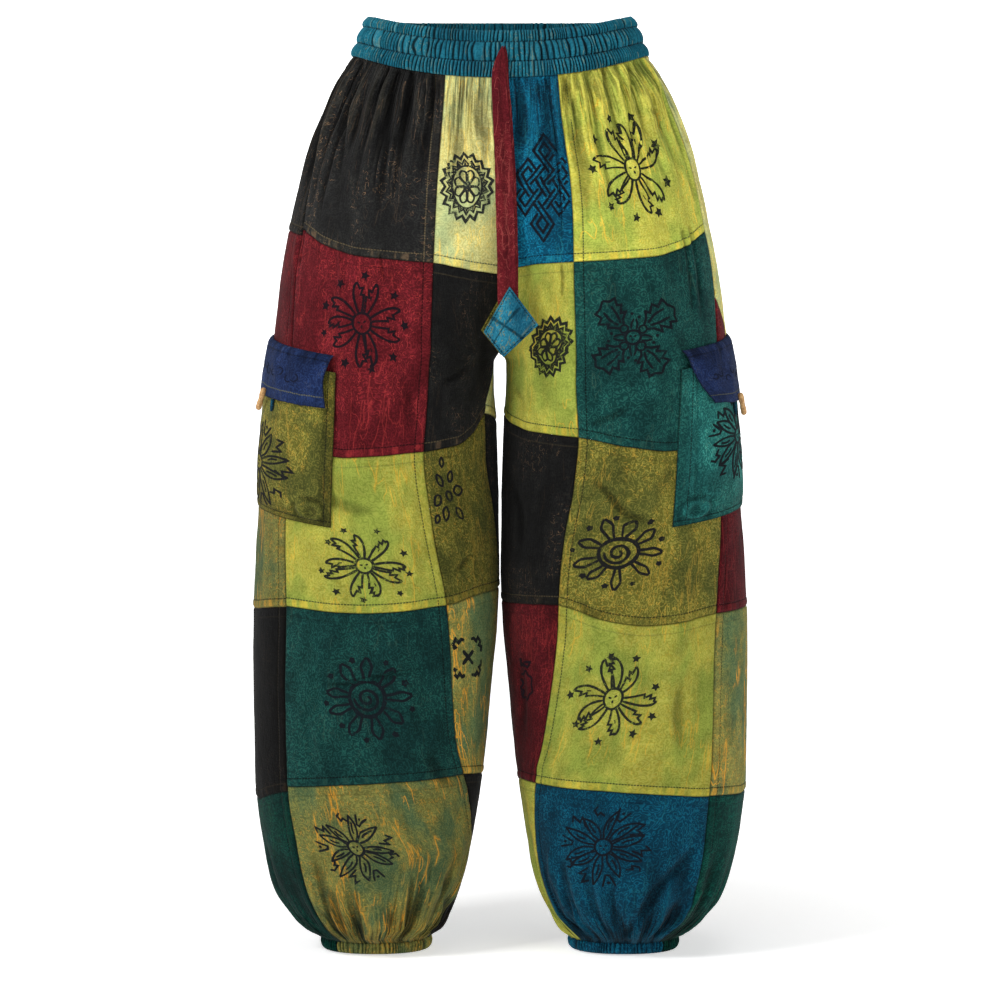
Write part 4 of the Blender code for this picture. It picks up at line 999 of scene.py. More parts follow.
def shell(name, outer, inner, materials, facts=None, closed=False):
    """A closed wall between a fine outer grid and a coarser inner one."""
    rows, columns = outer.shape[:2]
    inner_rows, inner_columns = inner.shape[:2]
    front = np.arange(rows * columns).reshape(rows, columns)
    back = rows * columns + np.arange(inner_rows * inner_columns).reshape(inner_rows, inner_columns)
    if closed:
        front = np.concatenate((front, front[:, :1]), axis=1)
        back = np.concatenate((back, back[:, :1]), axis=1)
    faces = grid_faces(front) + grid_faces(back[:, ::-1])
    zip_rows(faces, back[0].tolist(), front[0].tolist())
    zip_rows(faces, front[-1].tolist(), back[-1].tolist())
    if not closed:
        zip_rows(faces, front[:, 0].tolist(), back[:, 0].tolist())
        zip_rows(faces, back[:, -1].tolist(), front[:, -1].tolist())
    down = np.linspace(0, rows - 1, inner_rows).round().astype(int)
    across = np.linspace(0, columns - (0 if closed else 1), inner_columns + (1 if closed else 0))
    across = across.round().astype(int)[:inner_columns]
    values = {}
    for key, value in (facts or {}).items():
        tail = value.shape[2:]
        picked = value[np.ix_(down, across)]
        values[key] = np.concatenate((value.reshape(-1, *tail), picked.reshape(-1, *tail)))
    points = np.concatenate((outer.reshape(-1, 3), inner.reshape(-1, 3)))
    return mesh_object(name, points, faces, materials, values)


def grid_normals(grid, facing):
    """Directions square to a grid of points."""
    across = np.gradient(grid, axis=1)
    down = np.gradient(grid, axis=0)
    return unit(np.cross(across, down)) * facing


def stand_for(piece, node):
    """Puts a piece in its solid's place."""
    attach(piece, "root")
    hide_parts(node)


def declare(piece, node):
    """A sheet of cloth that stands for a node."""
    stand_for(piece, node)
    return piece


# ---------------------------------------------------------------- materials
def linear(colour):
    """Linear red, green, blue and 1 from 0-255 screen values."""
    values = [channel / 255 for channel in colour]
    return (*[v / 12.92 if v <= 0.04045 else ((v + 0.055) / 1.055) ** 2.4 for v in values], 1.0)


class Shader:
    """Nodes of one material, with short calls for the kinds that the finishes share."""

    def __init__(self, name):
        self.material = bpy.data.materials.new(name)
        self.material.use_nodes = True
        self.tree = self.material.node_tree
        self.surface = self.tree.nodes["Principled BSDF"]

    def node(self, kind, settings=None, **inputs):
        """A node with its settings and inputs."""
        made = self.tree.nodes.new("ShaderNode" + kind)
        for key, value in (settings or {}).items():
            setattr(made, key, value)
        for key, value in inputs.items():
            self.put(made.inputs[key.replace("_", " ")], value)
        return made

    def put(self, socket, value):
        """Feeds a socket from another node, or with a plain value."""
        if isinstance(value, bpy.types.NodeSocket):
            self.tree.links.new(value, socket)
        else:
            socket.default_value = value

    def settle(self, **values):
        """Uniform values on the surface's sockets."""
        for key, value in values.items():
            self.surface.inputs[key.replace("_", " ")].default_value = value

    def maths(self, operation, first, second=0.0, third=0.0):
        """One operation on numbers."""
        made = self.tree.nodes.new("ShaderNodeMath")
        made.operation = operation
        for socket, value in zip(made.inputs, (first, second, third)):
            self.put(socket, value)
        return made.outputs[0]

    def placed(self, where, factors, shift=(0.0, 0.0, 0.0)):
        """A place scaled by factors and moved."""
        made = self.tree.nodes.new("ShaderNodeVectorMath")
        made.operation = "MULTIPLY_ADD"
        self.put(made.inputs[0], where)
        made.inputs[1].default_value = (*factors, 1.0)
        made.inputs[2].default_value = shift
        return made.outputs[0]

    def noise(self, where, factors, detail=2.0, rough=0.5, shift=(0.0, 0.0, 0.0)):
        """Soft noise, 0 to 1, with a count of lumps per metre in each direction."""
        made = self.node(
            "TexNoise", {"noise_dimensions": "2D"}, Vector=self.placed(where, factors, shift), Scale=1.0,
            Detail=detail, Roughness=rough,
        )
        return made.outputs["Fac"]

    def step(self, value, low, high, to_low=0.0, to_high=1.0):
        """A smooth step from to_low to to_high as the value goes from low to high."""
        made = self.tree.nodes.new("ShaderNodeMapRange")
        made.interpolation_type = "SMOOTHSTEP"
        for socket, given in zip(made.inputs, (value, low, high, to_low, to_high)):
            self.put(socket, given)
        return made.outputs[0]

    def mix(self, share, first, second, kind="MIX"):
        """Two colours mixed."""
        made = self.tree.nodes.new("ShaderNodeMix")
        made.data_type = "RGBA"
        made.blend_type = kind
        self.put(made.inputs[0], share)
        self.put(made.inputs[6], first)
        self.put(made.inputs[7], second)
        return made.outputs[2]

    def vector(self, name):
        """A three-part fact stored on the mesh's points."""
        return self.node("Attribute", {"attribute_name": name}).outputs["Vector"]

    def value(self, name):
        """A one-number fact stored on the mesh's points."""
        return self.node("Attribute", {"attribute_name": name}).outputs["Fac"]

    def parts(self, vector):
        """The three numbers of a vector."""
        made = self.node("SeparateXYZ", Vector=vector)
        return made.outputs[0], made.outputs[1], made.outputs[2]

    def line(self, value, at, core, edge):
        """1 where value is near at, fading from core to edge."""
        away = self.maths("ABSOLUTE", self.maths("SUBTRACT", value, at))
        return self.step(away, core, edge, 1.0, 0.0)

    def cracks(self, where, factors, width, detail, number, glow=0.0):
        """Wandering lines of one width, in metres, along a noise's middle height, with a soft rim."""
        shift = (17.3 * number, 9.1 * number, 0.0)
        reach = 0.0003
        here = self.noise(where, factors, detail, 0.5, shift)
        beside = self.noise(where, factors, detail, 0.5, (shift[0] + reach * factors[0], shift[1], 0.0))
        below = self.noise(where, factors, detail, 0.5, (shift[0], shift[1] + reach * factors[1], 0.0))
        across = self.maths("SUBTRACT", beside, here)
        down = self.maths("SUBTRACT", below, here)
        squares = self.maths("MULTIPLY_ADD", across, across, self.maths("MULTIPLY", down, down))
        slope = self.maths("MAXIMUM", self.maths("SQRT", squares), 0.001)
        away = self.maths("DIVIDE", self.maths("ABSOLUTE", self.maths("SUBTRACT", here, 0.5)), slope)
        core = self.step(away, 0.3 * width / reach, 0.75 * width / reach, 1.0, 0.0)
        if not glow:
            return core
        rim = self.step(away, 0.3 * width / reach, 2.4 * width / reach, glow, 0.0)
        return self.maths("MAXIMUM", core, rim)

    def times(self, *values):
        """The product of the values."""
        total = values[0]
        for value in values[1:]:
            total = self.maths("MULTIPLY", total, value)
        return total

    def most(self, *values):
        """The greatest of the values."""
        total = values[0]
        for value in values[1:]:
            total = self.maths("MAXIMUM", total, value)
        return total

    def bump(self, height, distance):
        """Fine relief on the surface."""
        made = self.node("Bump", Height=height, Distance=distance, Strength=1.0)
        self.put(self.surface.inputs["Normal"], made.outputs[0])


# Colours are screen values. base and tone mottle the dye; curl is the rubbed surface, in fine curls;
# vein is the dye's cracks, long ones and short ones; seam is the rubbed edge beside a seam.
# The last number of each cloth is how much its colour darkens in folds and rib valleys, as painted shade
CLOTH_NAMES = (
    "base", "tone", "curl", "curls", "vein", "long", "short", "ridge", "spread", "width", "seam", "seams",
    "thread", "grain", "hollow_shade",
)
CLOTHS = {
    "black": (
        (14, 14, 14), (19, 19, 19), (31, 32, 29), 0.50, (95, 74, 54), 0.10, 0.85, 0.45, 0.54, 0.0005,
        (51, 45, 33), 0.28, (65, 57, 41), 0.16, 0.60,
    ),
    "red": (
        (62, 11, 16), (73, 17, 22), (101, 25, 31), 0.75, (136, 41, 40), 0.40, 0.80, 0.50, 0.50, 0.0008,
        (93, 22, 27), 0.55, (26, 6, 9), 0.14, 0.42,
    ),
    "lime": (
        (129, 142, 57), (153, 151, 59), (169, 166, 82), 0.55, (194, 159, 55), 0.75, 0.35, 0.60, 0.50, 0.0011,
        (177, 166, 60), 0.75, (45, 57, 37), 0.08, 0.40,
    ),
    "teal": (
        (12, 50, 49), (18, 64, 61), (37, 96, 87), 0.80, (73, 106, 89), 0.30, 0.35, 0.30, 0.56, 0.0008,
        (24, 76, 70), 0.50, (7, 21, 22), 0.14, 0.45,
    ),
    "sage": (
        (167, 178, 123), (192, 184, 112), (213, 209, 147), 0.55, (229, 198, 99), 0.75, 0.45, 0.75, 0.47,
        0.0011, (221, 208, 107), 0.70, (60, 77, 63), 0.10, 0.40,
    ),
    "sage_gold": (
        (69, 88, 57), (104, 104, 53), (129, 124, 61), 0.65, (195, 138, 45), 0.90, 0.45, 0.70, 0.50, 0.0012,
        (155, 126, 50), 0.60, (40, 41, 21), 0.14, 0.50,
    ),
    "blue": (
        (3, 48, 67), (4, 60, 83), (12, 97, 124), 0.80, (33, 111, 119), 0.30, 0.35, 0.30, 0.56, 0.0008,
        (6, 78, 98), 0.50, (2, 18, 31), 0.14, 0.46,
    ),
    "olive": (
        (67, 70, 29), (89, 87, 33), (126, 118, 51), 0.85, (159, 129, 48), 0.45, 0.90, 0.50, 0.46, 0.0009,
        (118, 109, 43), 0.60, (33, 34, 19), 0.16, 0.45,
    ),
    "green": (
        (2, 32, 29), (3, 42, 37), (8, 67, 56), 0.75, (29, 81, 53), 0.35, 0.30, 0.40, 0.56, 0.0008,
        (4, 53, 43), 0.45, (1, 13, 12), 0.14, 0.48,
    ),
    "navy": (
        (15, 27, 56), (22, 35, 70), (35, 55, 96), 0.70, (74, 79, 87), 0.35, 0.45, 0.45, 0.56, 0.0009,
        (35, 55, 93), 0.40, (87, 88, 69), 0.14, 0.50,
    ),
    "band_blue": (
        (15, 81, 100), (23, 96, 114), (39, 111, 127), 0.45, (129, 139, 100), 0.30, 0.40, 0.55, 0.54, 0.0008,
        (42, 113, 131), 0.30, (4, 35, 48), 0.12, 0.80,
    ),
    "strap_red": (
        (77, 16, 23), (89, 22, 27), (110, 34, 38), 0.60, (150, 67, 63), 0.55, 0.75, 0.45, 0.46, 0.0008,
        (105, 30, 34), 0.30, (33, 6, 9), 0.14, 0.70,
    ),
    "diamond_blue": (
        (16, 77, 101), (34, 107, 131), (56, 132, 145), 0.55, (114, 116, 76), 0.55, 0.75, 0.50, 0.45, 0.0014,
        (53, 132, 147), 0.40, (5, 33, 48), 0.12, 0.65,
    ),
}
FINISHES = {}


def cloth(name):
    """A washed cotton: mottled dye, fine rubbed curls, cracks in the dye, seams, thread and weave, with
    painted shade in its folds, tucks and seams, and ridges lightened by rubbing and painted highlight.
    """
    if name in FINISHES:
        return FINISHES[name]
    row = dict(zip(CLOTH_NAMES, CLOTHS[name]))
    s = Shader("washed_cotton_" + name)
    where = s.vector("cloth")
    hem, along, top = s.parts(s.vector("hem"))
    side, down, edge = s.parts(s.vector("side"))
    pucker = s.value("pucker")
    wear_and_shade = s.value("wear_and_shade")

    broad = s.noise(where, (18, 11), 3.0, 0.6)
    colour = s.mix(s.step(broad, 0.36, 0.62), linear(row["base"]), linear(row["tone"]))
    warp = s.noise(where, (620, 90), 2.0, 0.6)
    weft = s.noise(where, (90, 700), 2.0, 0.6, (3.0, 5.0, 0.0))
    grain = s.maths("ADD", warp, weft)
    shade = s.step(grain, 0.6, 1.4, 1.0 - 0.8 * row["grain"], 1.0 + 0.8 * row["grain"])
    hazy = s.step(s.noise(where, (44, 30), 3.0, 0.6, (11.0, 2.0, 0.0)), 0.25, 0.75, 0.84, 1.16)

    crinkle = s.noise(where, (120, 100), 2.0, 0.5, (7.0, 1.0, 0.0))
    rings = s.maths("PINGPONG", s.times(crinkle, 6.0), 0.5)
    worms = s.step(rings, 0.25, 0.46)
    rubbed = s.step(broad, 0.38, 0.56, 0.40, 1.0)
    curls = s.times(worms, rubbed, row["curls"])
    colour = s.mix(curls, colour, linear(row["curl"]))
    sunk = s.step(rings, 0.03, 0.22, 0.80, 1.0)

    patchy = s.noise(where, (26, 12), 2.0, 0.55, (1.0, 8.0, 0.0))
    spread = row["spread"]
    width = row["width"]
    long = s.times(
        s.cracks(where, (38, 7), width, 3.0, 1, 0.3), s.step(patchy, spread, spread + 0.08), row["long"],
    )
    forks = s.times(
        s.cracks(where, (70, 20), width * 0.7, 2.0, 2), s.step(patchy, spread + 0.03, spread + 0.12),
        row["long"],
    )
    dots = s.step(s.noise(where, (190, 150), 1.0, 0.5, (4.0, 4.0, 0.0)), 0.50, 0.60)
    short = s.times(
        s.cracks(where, (210, 170), width * 0.6, 1.0, 3), dots, s.step(broad, spread - 0.06, spread + 0.04),
        row["short"],
    )
    ridge = s.times(
        s.step(wear_and_shade, 0.25, 0.9), s.cracks(where, (110, 12), width * 0.7, 3.0, 4), row["ridge"],
        s.step(s.noise(where, (160, 60), 1.0, 0.5, (9.0, 4.0, 0.0)), 0.42, 0.58),
    )
    veins = s.most(long, forks, short, ridge)
    colour = s.mix(veins, colour, linear(row["vein"]))

    hem_band = s.step(hem, HEM_STITCH - 0.0010, HEM_STITCH, 1.0, 0.0)
    side_band = s.step(side, SIDE_STITCH - 0.0010, SIDE_STITCH, 1.0, 0.0)
    stripes = s.step(pucker, 0.02, 0.50, 0.15, 1.0)
    rubbed_seam = s.times(s.most(hem_band, s.times(side_band, 0.6)), stripes, row["seams"])
    colour = s.mix(rubbed_seam, colour, linear(row["seam"]))
    bright = s.times(s.step(pucker, 0.42, 0.62), hem_band, 0.5 * row["ridge"])
    colour = s.mix(bright, colour, linear(row["vein"]))

    dash = s.step(s.maths("PINGPONG", along, 0.0016), 0.0003, 0.0005)
    side_dash = s.step(s.maths("PINGPONG", down, 0.0016), 0.0003, 0.0005)
    hem_thread = s.times(s.line(hem, HEM_STITCH, 0.0003, 0.0009), dash)
    side_thread = s.times(s.line(side, SIDE_STITCH, 0.0003, 0.0009), side_dash)
    print_through = s.times(s.line(top, 0.0098, 0.0003, 0.0012), 0.3)
    thread = s.most(hem_thread, side_thread, print_through)
    colour = s.mix(s.times(thread, 0.85), colour, linear(row["thread"]))

    gather = s.value("gather")
    tucks = s.noise(where, (330, 22), 2.0, 0.5, (5.0, 3.0, 0.0))
    # Ridges and tuck crests are lighter: rubbed wear and painted highlight together
    lit = [blend(a, b, 0.5) for a, b in zip(row["curl"], row["seam"])]
    ridge_wear_and_highlight = s.most(
        s.times(s.step(wear_and_shade, 0.7, 1.9), 0.8 * row["seams"]),
        s.times(s.step(tucks, 0.55, 0.68), gather, row["seams"]),
    )
    colour = s.mix(ridge_wear_and_highlight, colour, linear(lit))
    # Painted shade in the valleys of the fine tucks
    painted_tuck_shade = s.maths("MULTIPLY_ADD", s.times(s.step(tucks, 0.38, 0.49, 1.0, 0.0), gather), -0.50, 1.0)
    # Painted shade: darker in the hollows of gathers, creases, pleats and ribs, as far as the cloth's last
    # number says
    painted_crease_shade = s.times(s.step(wear_and_shade, -0.9, 0.1, 1.0 - row["hollow_shade"], 1.0), s.step(wear_and_shade, -2.3, -0.9, 0.62, 1.0))
    # Painted shade: darker along the seams at a patch's edges
    groove = s.step(edge, 0.0, 0.0016, 0.42, 1.0)
    dye = s.maths("ADD", s.parts(where)[2], 1.0)
    # Darkening by weave, random tone, crinkles and dye, together with the painted shade above
    depth = s.times(shade, hazy, sunk, painted_crease_shade, painted_tuck_shade, groove, dye)
    grey = s.node("CombineColor", Red=depth, Green=depth, Blue=depth).outputs[0]
    s.put(s.surface.inputs["Base Color"], s.mix(1.0, colour, grey, "MULTIPLY"))
    s.settle(Roughness=0.95, Specular_IOR_Level=0.08, Sheen_Weight=0.02)
    lumps = s.noise(where, (100, 70), 3.0, 0.6, (6.0, 6.0, 0.0))
    height = s.maths("ADD", s.times(grain, 0.5), s.times(lumps, 0.9))
    height = s.maths("MULTIPLY_ADD", s.most(curls, veins), 0.25, height)
    height = s.maths("MULTIPLY_ADD", s.times(tucks, gather), 5.0, height)
    height = s.maths("SUBTRACT", height, s.times(thread, 0.5))
    s.bump(height, 0.0008)
    FINISHES[name] = s.material
    return s.material


INK_STRENGTHS = {"navy": 0.62}


def ink(name):
    """Block-print ink, worn so that the cloth shows through."""
    key = "ink_" + name
    if key in FINISHES:
        return FINISHES[key]
    row = dict(zip(CLOTH_NAMES, CLOTHS[name]))
    s = Shader("print_ink_on_" + name)
    where = s.vector("cloth")
    grain = s.noise(where, (420, 380), 3.0, 0.7)
    patchy = s.noise(where, (70, 60), 2.0, 0.6)
    worn = s.step(s.maths("ADD", grain, s.times(patchy, 0.6)), 0.88, 1.06, 0.0, 0.55)
    strength = INK_STRENGTHS.get(name, 1.0)
    dark = [0.55 * a + 0.45 * b for a, b in zip((24, 24, 33), [0.3 * c for c in row["base"]])]
    dark = [blend(b, a, strength) for a, b in zip(dark, row["base"])]
    s.put(s.surface.inputs["Base Color"], s.mix(worn, linear(dark), linear(row["base"])))
    s.settle(Roughness=0.9, Specular_IOR_Level=0.08)
    s.bump(grain, 0.0004)
    FINISHES[key] = s.material
    return s.material


def wood():
    """Pale turned wood with lengthwise grain."""
    s = Shader("pale_wood")
    where = s.node("TexCoord").outputs["Object"]
    fibres = s.node("TexNoise", Vector=s.placed(where, (900, 900)), Scale=1.0, Detail=3.0).outputs["Fac"]
    rings = s.node("TexNoise", Vector=where, Scale=260.0, Detail=2.0, Distortion=1.0).outputs["Fac"]
    colour = s.mix(s.step(fibres, 0.35, 0.7), linear((196, 158, 108)), linear((146, 104, 62)))
    colour = s.mix(s.step(rings, 0.55, 0.7, 0.0, 0.5), colour, linear((116, 80, 48)))
    s.put(s.surface.inputs["Base Color"], colour)
    s.settle(Roughness=0.6, Specular_IOR_Level=0.2)
    s.bump(fibres, 0.0003)
    return s.material


# ---------------------------------------------------------------- cloth pieces
PATCH_FINISHES = {
    "left_front_main_5": "sage_gold", "left_back_main_3": "sage_gold", "left_front_inner_4": "sage_gold",
    "right_back_main_4": "sage_gold",
}


def patch(leg, column, row):
    """One sewn patch of a leg."""
    name = f"{leg}_{column}_{row}"
    colour = PATCH_COLOURS[f"{leg}_{column}"][row - 1]
    share, level = patch_grid(leg, column, row)
    outer, facts = cloth_surface(leg, column, row, share, level)
    normal = grid_normals(outer, SIDES[leg])
    inner = (outer - CLOTH * normal)[::2, ::2]
    inner[..., 0] = np.maximum(inner[..., 0] * SIDES[leg], VISUAL_GAP / 2) * SIDES[leg]
    piece = shell(name + "_cloth", outer, inner, cloth(PATCH_FINISHES.get(name, colour)), facts)
    return declare(piece, name)


def rib_wave(along, level, channel, size):
    """Rounded ribs with sharp valleys, uneven in width and height, from about -1 to 1."""
    place = along / size + 1.1 * ripple(0.017, along, level * 0.3, channel)
    place = place + 0.40 * ripple(0.006, along, level * 0.5, channel + 2.0)
    tall = 0.80 + 0.50 * ripple(0.008, along, level * 0.2, channel + 4.0)
    return (2 * np.abs(np.sin(math.pi * place)) ** 1.6 - 1) * tall


RING_INNER_ROWS = 7
RING_STAND = 0.0004
RING_TOP_WAVE = 0.0011
# Where the straps lie on the casing, and how far the casing may stand off there and elsewhere
UNDER_STRAPS = (-0.012, 0.014, 0.003)
STAND_UNDER_STRAPS = 0.0036
STAND_ELSEWHERE = 0.01


def ring(name, node, materials, points_at, profile, size, rib_depth, inside):
    """An elastic casing: puffed channels with uneven ribs outside, and a plainer wall inside.

    profile has a row for each channel: its top and bottom as shares of the casing, its bulge, and the
    width of its ribs.
    """
    count, rows = size
    angle = np.arange(count) * 360.0 / count
    share = np.linspace(0.0, 1.0, rows)
    angles, shares = np.meshgrid(angle, share)
    base, away, level = points_at(angles, shares)
    steps = np.linalg.norm(np.diff(base, axis=1, append=base[:, :1]), axis=-1)[rows // 2]
    along = np.broadcast_to(np.cumsum(steps) - steps, shares.shape)
    puff = np.zeros_like(shares)
    strength = np.zeros_like(shares)
    nearest = np.full_like(shares, FAR)
    wave = np.zeros_like(shares)
    tall = abs(level[0, 0] - level[-1, 0])
    for number, (top, bottom, bulge, rib_size) in enumerate(profile):
        within = np.clip((shares - top) / (bottom - top), 0.0, 1.0)
        here = (shares >= top) & (shares <= bottom)
        arch = np.sin(math.pi * within)
        puff += np.where(here, bulge * arch ** 0.55, 0.0)
        strength = np.where(here, 0.35 + 0.65 * arch ** 0.5, strength)
        wave = np.where(here, rib_wave(along, level, np.full_like(along, number * 0.31), rib_size), wave)
        for line in (top, bottom):
            if 0.0 < line < 1.0:
                nearest = np.minimum(nearest, np.abs(shares - line) * tall)
    slow = ripple(0.018, along, level * 0.3, np.full_like(along, 9.0))
    stand = RING_STAND + puff * (1 + 0.15 * slow) + rib_depth * wave * strength
    under_straps = between(base[..., 0], *UNDER_STRAPS) * (base[..., 1] < 0)
    stand = np.minimum(stand, blend(STAND_ELSEWHERE, STAND_UNDER_STRAPS, under_straps))
    outer = base + away * stand[..., None]
    outer[0, :, 2] += RING_TOP_WAVE * wave[0]
    pick = np.linspace(0, rows - 1, RING_INNER_ROWS).round().astype(int)
    inner = (base - away * (inside + 0.6 * rib_depth * (wave * strength + 0.6)[..., None]))[pick][:, ::2]
    facts = {
        "cloth": joined(along, -level, 0 * level),
        "hem": joined(nearest + HEM_STITCH, along, np.full_like(along, FAR)),
        "side": joined(np.full_like(along, FAR), -level, np.full_like(along, FAR)),
        "pucker": np.zeros_like(along),
        # Rib height: painted shade in the rib valleys, lighter rib tops with rubbed marks
        "wear_and_shade": 2.3 * wave * (0.4 + 0.6 * strength),
    }
    piece = shell(name, outer, inner, materials, facts, closed=True)
    return declare(piece, node)


def waist_points(angles, shares):
    """Points, outward directions and levels of the waistband's smooth face."""
    level = blend(BAND_TOP, BAND_BOTTOM + VISUAL_GAP / 2, shares)
    on_right = np.cos(np.radians(angles)) >= 0
    turns = np.where(on_right, angles, 180.0 - angles)
    sides = np.ones((*angles.shape, 3))
    sides[~on_right, 0] = -1.0
    return leg_point(turns, level) * sides, outward(turns, level) * sides, level


def waistband():
    """The casing at the waist, shirred into three channels."""
    channels = ((0.0, 0.24, 0.0024, 0.0036), (0.24, 0.655, 0.0032, 0.0054), (0.655, 1.0, 0.0028, 0.0034))
    ring(
        "waistband_cloth", "waistband", cloth("band_blue"), waist_points, channels,
        size=(1500, 44), rib_depth=0.0015, inside=0.0010,
    )


CUFF_CENTRE_Y = 0.010
CUFF_SECOND_CLOTH = (-150.0, 46.0)


def cuff(leg):
    """The elastic hem of one leg, of two cloths that meet at two turns."""
    def points_at(angles, shares):
        """Points, outward directions and levels of the smooth face."""
        level = blend(CUFF_TOP - VISUAL_GAP / 2, CUFF_BOTTOM, shares)
        base = leg_point(angles, level)
        return mirrored(base, leg), mirrored(outward(angles, level), leg), level

    colour = "sage_gold" if leg == "left" else "blue"
    piece = ring(
        f"{leg}_cuff_cloth", f"{leg}_cuff",
        [cloth(colour), cloth("green")], points_at, ((0.0, 1.0, 0.0018, 0.0040),),
        size=(520, 17), rib_depth=0.0013, inside=0.0010,
    )
    middles = np.array([polygon.center for polygon in piece.data.polygons])
    middle = float(section(np.array(CUFF_TOP))[0]) * SIDES[leg]
    turn = np.degrees(np.arctan2(CUFF_CENTRE_Y - middles[:, 1], (middles[:, 0] - middle) * SIDES[leg]))
    second = (turn > CUFF_SECOND_CLOTH[0]) & (turn < CUFF_SECOND_CLOTH[1])
    piece.data.polygons.foreach_set("material_index", second.astype(np.int32))


# ---------------------------------------------------------------- pockets, flaps, toggles and loops
def raised_point(leg, turn, level, stand):
    """Point standing off a leg's panel, square to it."""
    point = leg_point(turn, level) + outward(turn, level) * fold_relief(leg, turn, level)[..., None]
    across = leg_point(turn + TURN_STEP, level) - leg_point(turn - TURN_STEP, level)
    down = leg_point(turn, level - LEVEL_STEP) - leg_point(turn, level + LEVEL_STEP)
    normal = unit(np.cross(across, down))
    return mirrored(point + normal * np.asarray(stand)[..., None], leg)


def shares_grid(columns, rows):
    """Shares across and down at the points of a flat piece."""
    return np.meshgrid(np.linspace(0.0, 1.0, columns), np.linspace(0.0, 1.0, rows))


def distances(grid):
    """Distances of a grid's points from its first and last column, and from its first and last row."""
    across = np.linalg.norm(np.diff(grid, axis=1), axis=-1)
    down = np.linalg.norm(np.diff(grid, axis=0), axis=-1)
    start = np.concatenate((np.zeros((len(grid), 1)), np.cumsum(across, axis=1)), axis=1)
    top = np.concatenate((np.zeros((1, grid.shape[1])), np.cumsum(down, axis=0)), axis=0)
    return start, start[:, -1:] - start, top, top[-1:] - top


def pocket_place(leg, across, down):
    """Turn and level of a place on a pocket."""
    sizes = POCKETS[leg]
    front = blend(sizes["turn_top"], sizes["turn_bottom"], down)
    turn = blend(front, POCKET_REAR_TURN, across)
    return turn, blend(sizes["top"], sizes["bottom"], down) + POCKET_SLOPE * turn


# Grooves sewn in a pocket: depth and width
PLEAT_GROOVE = (0.0009, 0.0011)
HEM_GROOVE = (0.0006, 0.0010)
# The folded corner: height, radius and width of its round ridge, and depth, radius and width of the
# groove outside it, which stays this near the pocket's foot
CORNER_RIDGE = (0.0026, 0.0075, 0.0022)
CORNER_GROOVE = (0.0016, 0.0120, 0.0020)
CORNER_GROOVE_END = 0.03


def pocket_stand(leg, across, down, spot):
    """How far a pocket's outer face stands off the panel."""
    wide, tall = POCKET_SIZES[leg]
    front = across * wide
    bottom = (1 - down) * tall
    swell = (1 - (2 * across - 1) ** 8) * (1 - down ** 8)
    stand = POCKET_LIFT + CLOTH + POCKET_HOLLOW * swell
    stand += 0.0007 * noise(spot * (1, 1, 0.6), 0.026) * swell + 0.0003 * noise(spot, 0.010)
    stand -= PLEAT_GROOVE[0] * bell(front - POCKET_PLEAT[leg], PLEAT_GROOVE[1])
    stand -= HEM_GROOVE[0] * bell(bottom - POCKET_HEM, HEM_GROOVE[1])
    corner = np.hypot(front - POCKET_CORNER, bottom - POCKET_CORNER)
    inwards = smooth(np.minimum(front, bottom), 0.0, 0.005)
    ridge, radius, width = CORNER_RIDGE
    stand += ridge * inwards * bell(corner - radius, width)
    groove, radius, width = CORNER_GROOVE
    stand -= groove * inwards * bell(corner - radius, width) * (bottom < CORNER_GROOVE_END)
    # Crumpled cloth inside the corner
    stand += 0.0012 * inwards * noise(spot + 0.7, 0.0065) * (1 - smooth(corner, 0.012, 0.030))
    return stand


def pocket_surface(leg, across, down, lift):
    """Points on a pocket's outer face, or a little off it."""
    turn, level = pocket_place(leg, across, down)
    spot = raised_point(leg, turn, level, np.zeros_like(turn))
    return raised_point(leg, turn, level, pocket_stand(leg, across, down, spot) + lift)


def pocket(leg):
    """A cargo pocket with folded edges."""
    across, down = shares_grid(89, 73)
    turn, level = pocket_place(leg, across, down)
    spot = raised_point(leg, turn, level, np.zeros_like(turn))
    outer = pocket_surface(leg, across, down, 0.0)
    inner = pocket_surface(leg, across, down, -CLOTH)[::4, ::4]
    start, end, top, bottom = distances(outer)
    edge = np.minimum(np.minimum(start, end), bottom)
    facts = {
        "cloth": joined(start, top, DYES[f"{leg}_pocket"] - 1),
        "hem": joined(bottom + HEM_STITCH - 0.0055, start, FAR),
        "side": joined(start + SIDE_STITCH - POCKET_PLEAT[leg] - 0.002, top, edge),
        "pucker": 0.5 * ripple(PUCKER_SIZE, top, start * 0.2, start * 0.2),
        # Relief of the pocket: painted shade in its sewn grooves and round the folded corner, lighter on its
        # ridges
        "wear_and_shade": (pocket_stand(leg, across, down, spot) - CLOTH - POCKET_LIFT - POCKET_HOLLOW) / 0.002,
    }
    colour = "olive" if leg == "left" else "teal"
    piece = shell(f"{leg}_pocket_cloth", outer, inner, cloth(colour), facts)
    declare(piece, f"{leg}_pocket")


def flap_base_stand(down):
    """How far the flap's inner face stands off the panel, from its sewn edge down."""
    clear = POCKET_LIFT + POCKET_HOLLOW + CLOTH + SEAM_GAP
    return blend(FLAP_LIFT, clear + FLAP_DROOP * down, np.minimum(1.0, down / FLAP_STEP))


def flap_turns(leg, down, across):
    """Turns across a flap, from its front edge to the back one."""
    top, middle, bottom = POCKETS[leg]["flap_turns"]
    front_edge = Table(("down", "turn"), ((0.0, top), (0.5, middle), (1.0, bottom)))
    return blend(front_edge.read("turn", down), POCKET_REAR_TURN - FLAP_OVERHANG, across)


def flap_levels(leg, down, across):
    """Levels across a flap at a share of its depth."""
    rear, middle, front = POCKETS[leg]["flap_depths"]
    depths = Table(("across", "depth"), ((0.0, front), (0.5, middle), (1.0, rear)))
    slope = POCKET_SLOPE * flap_turns(leg, down, across)
    return POCKETS[leg]["flap_top"] + slope - down * depths.read("depth", across)


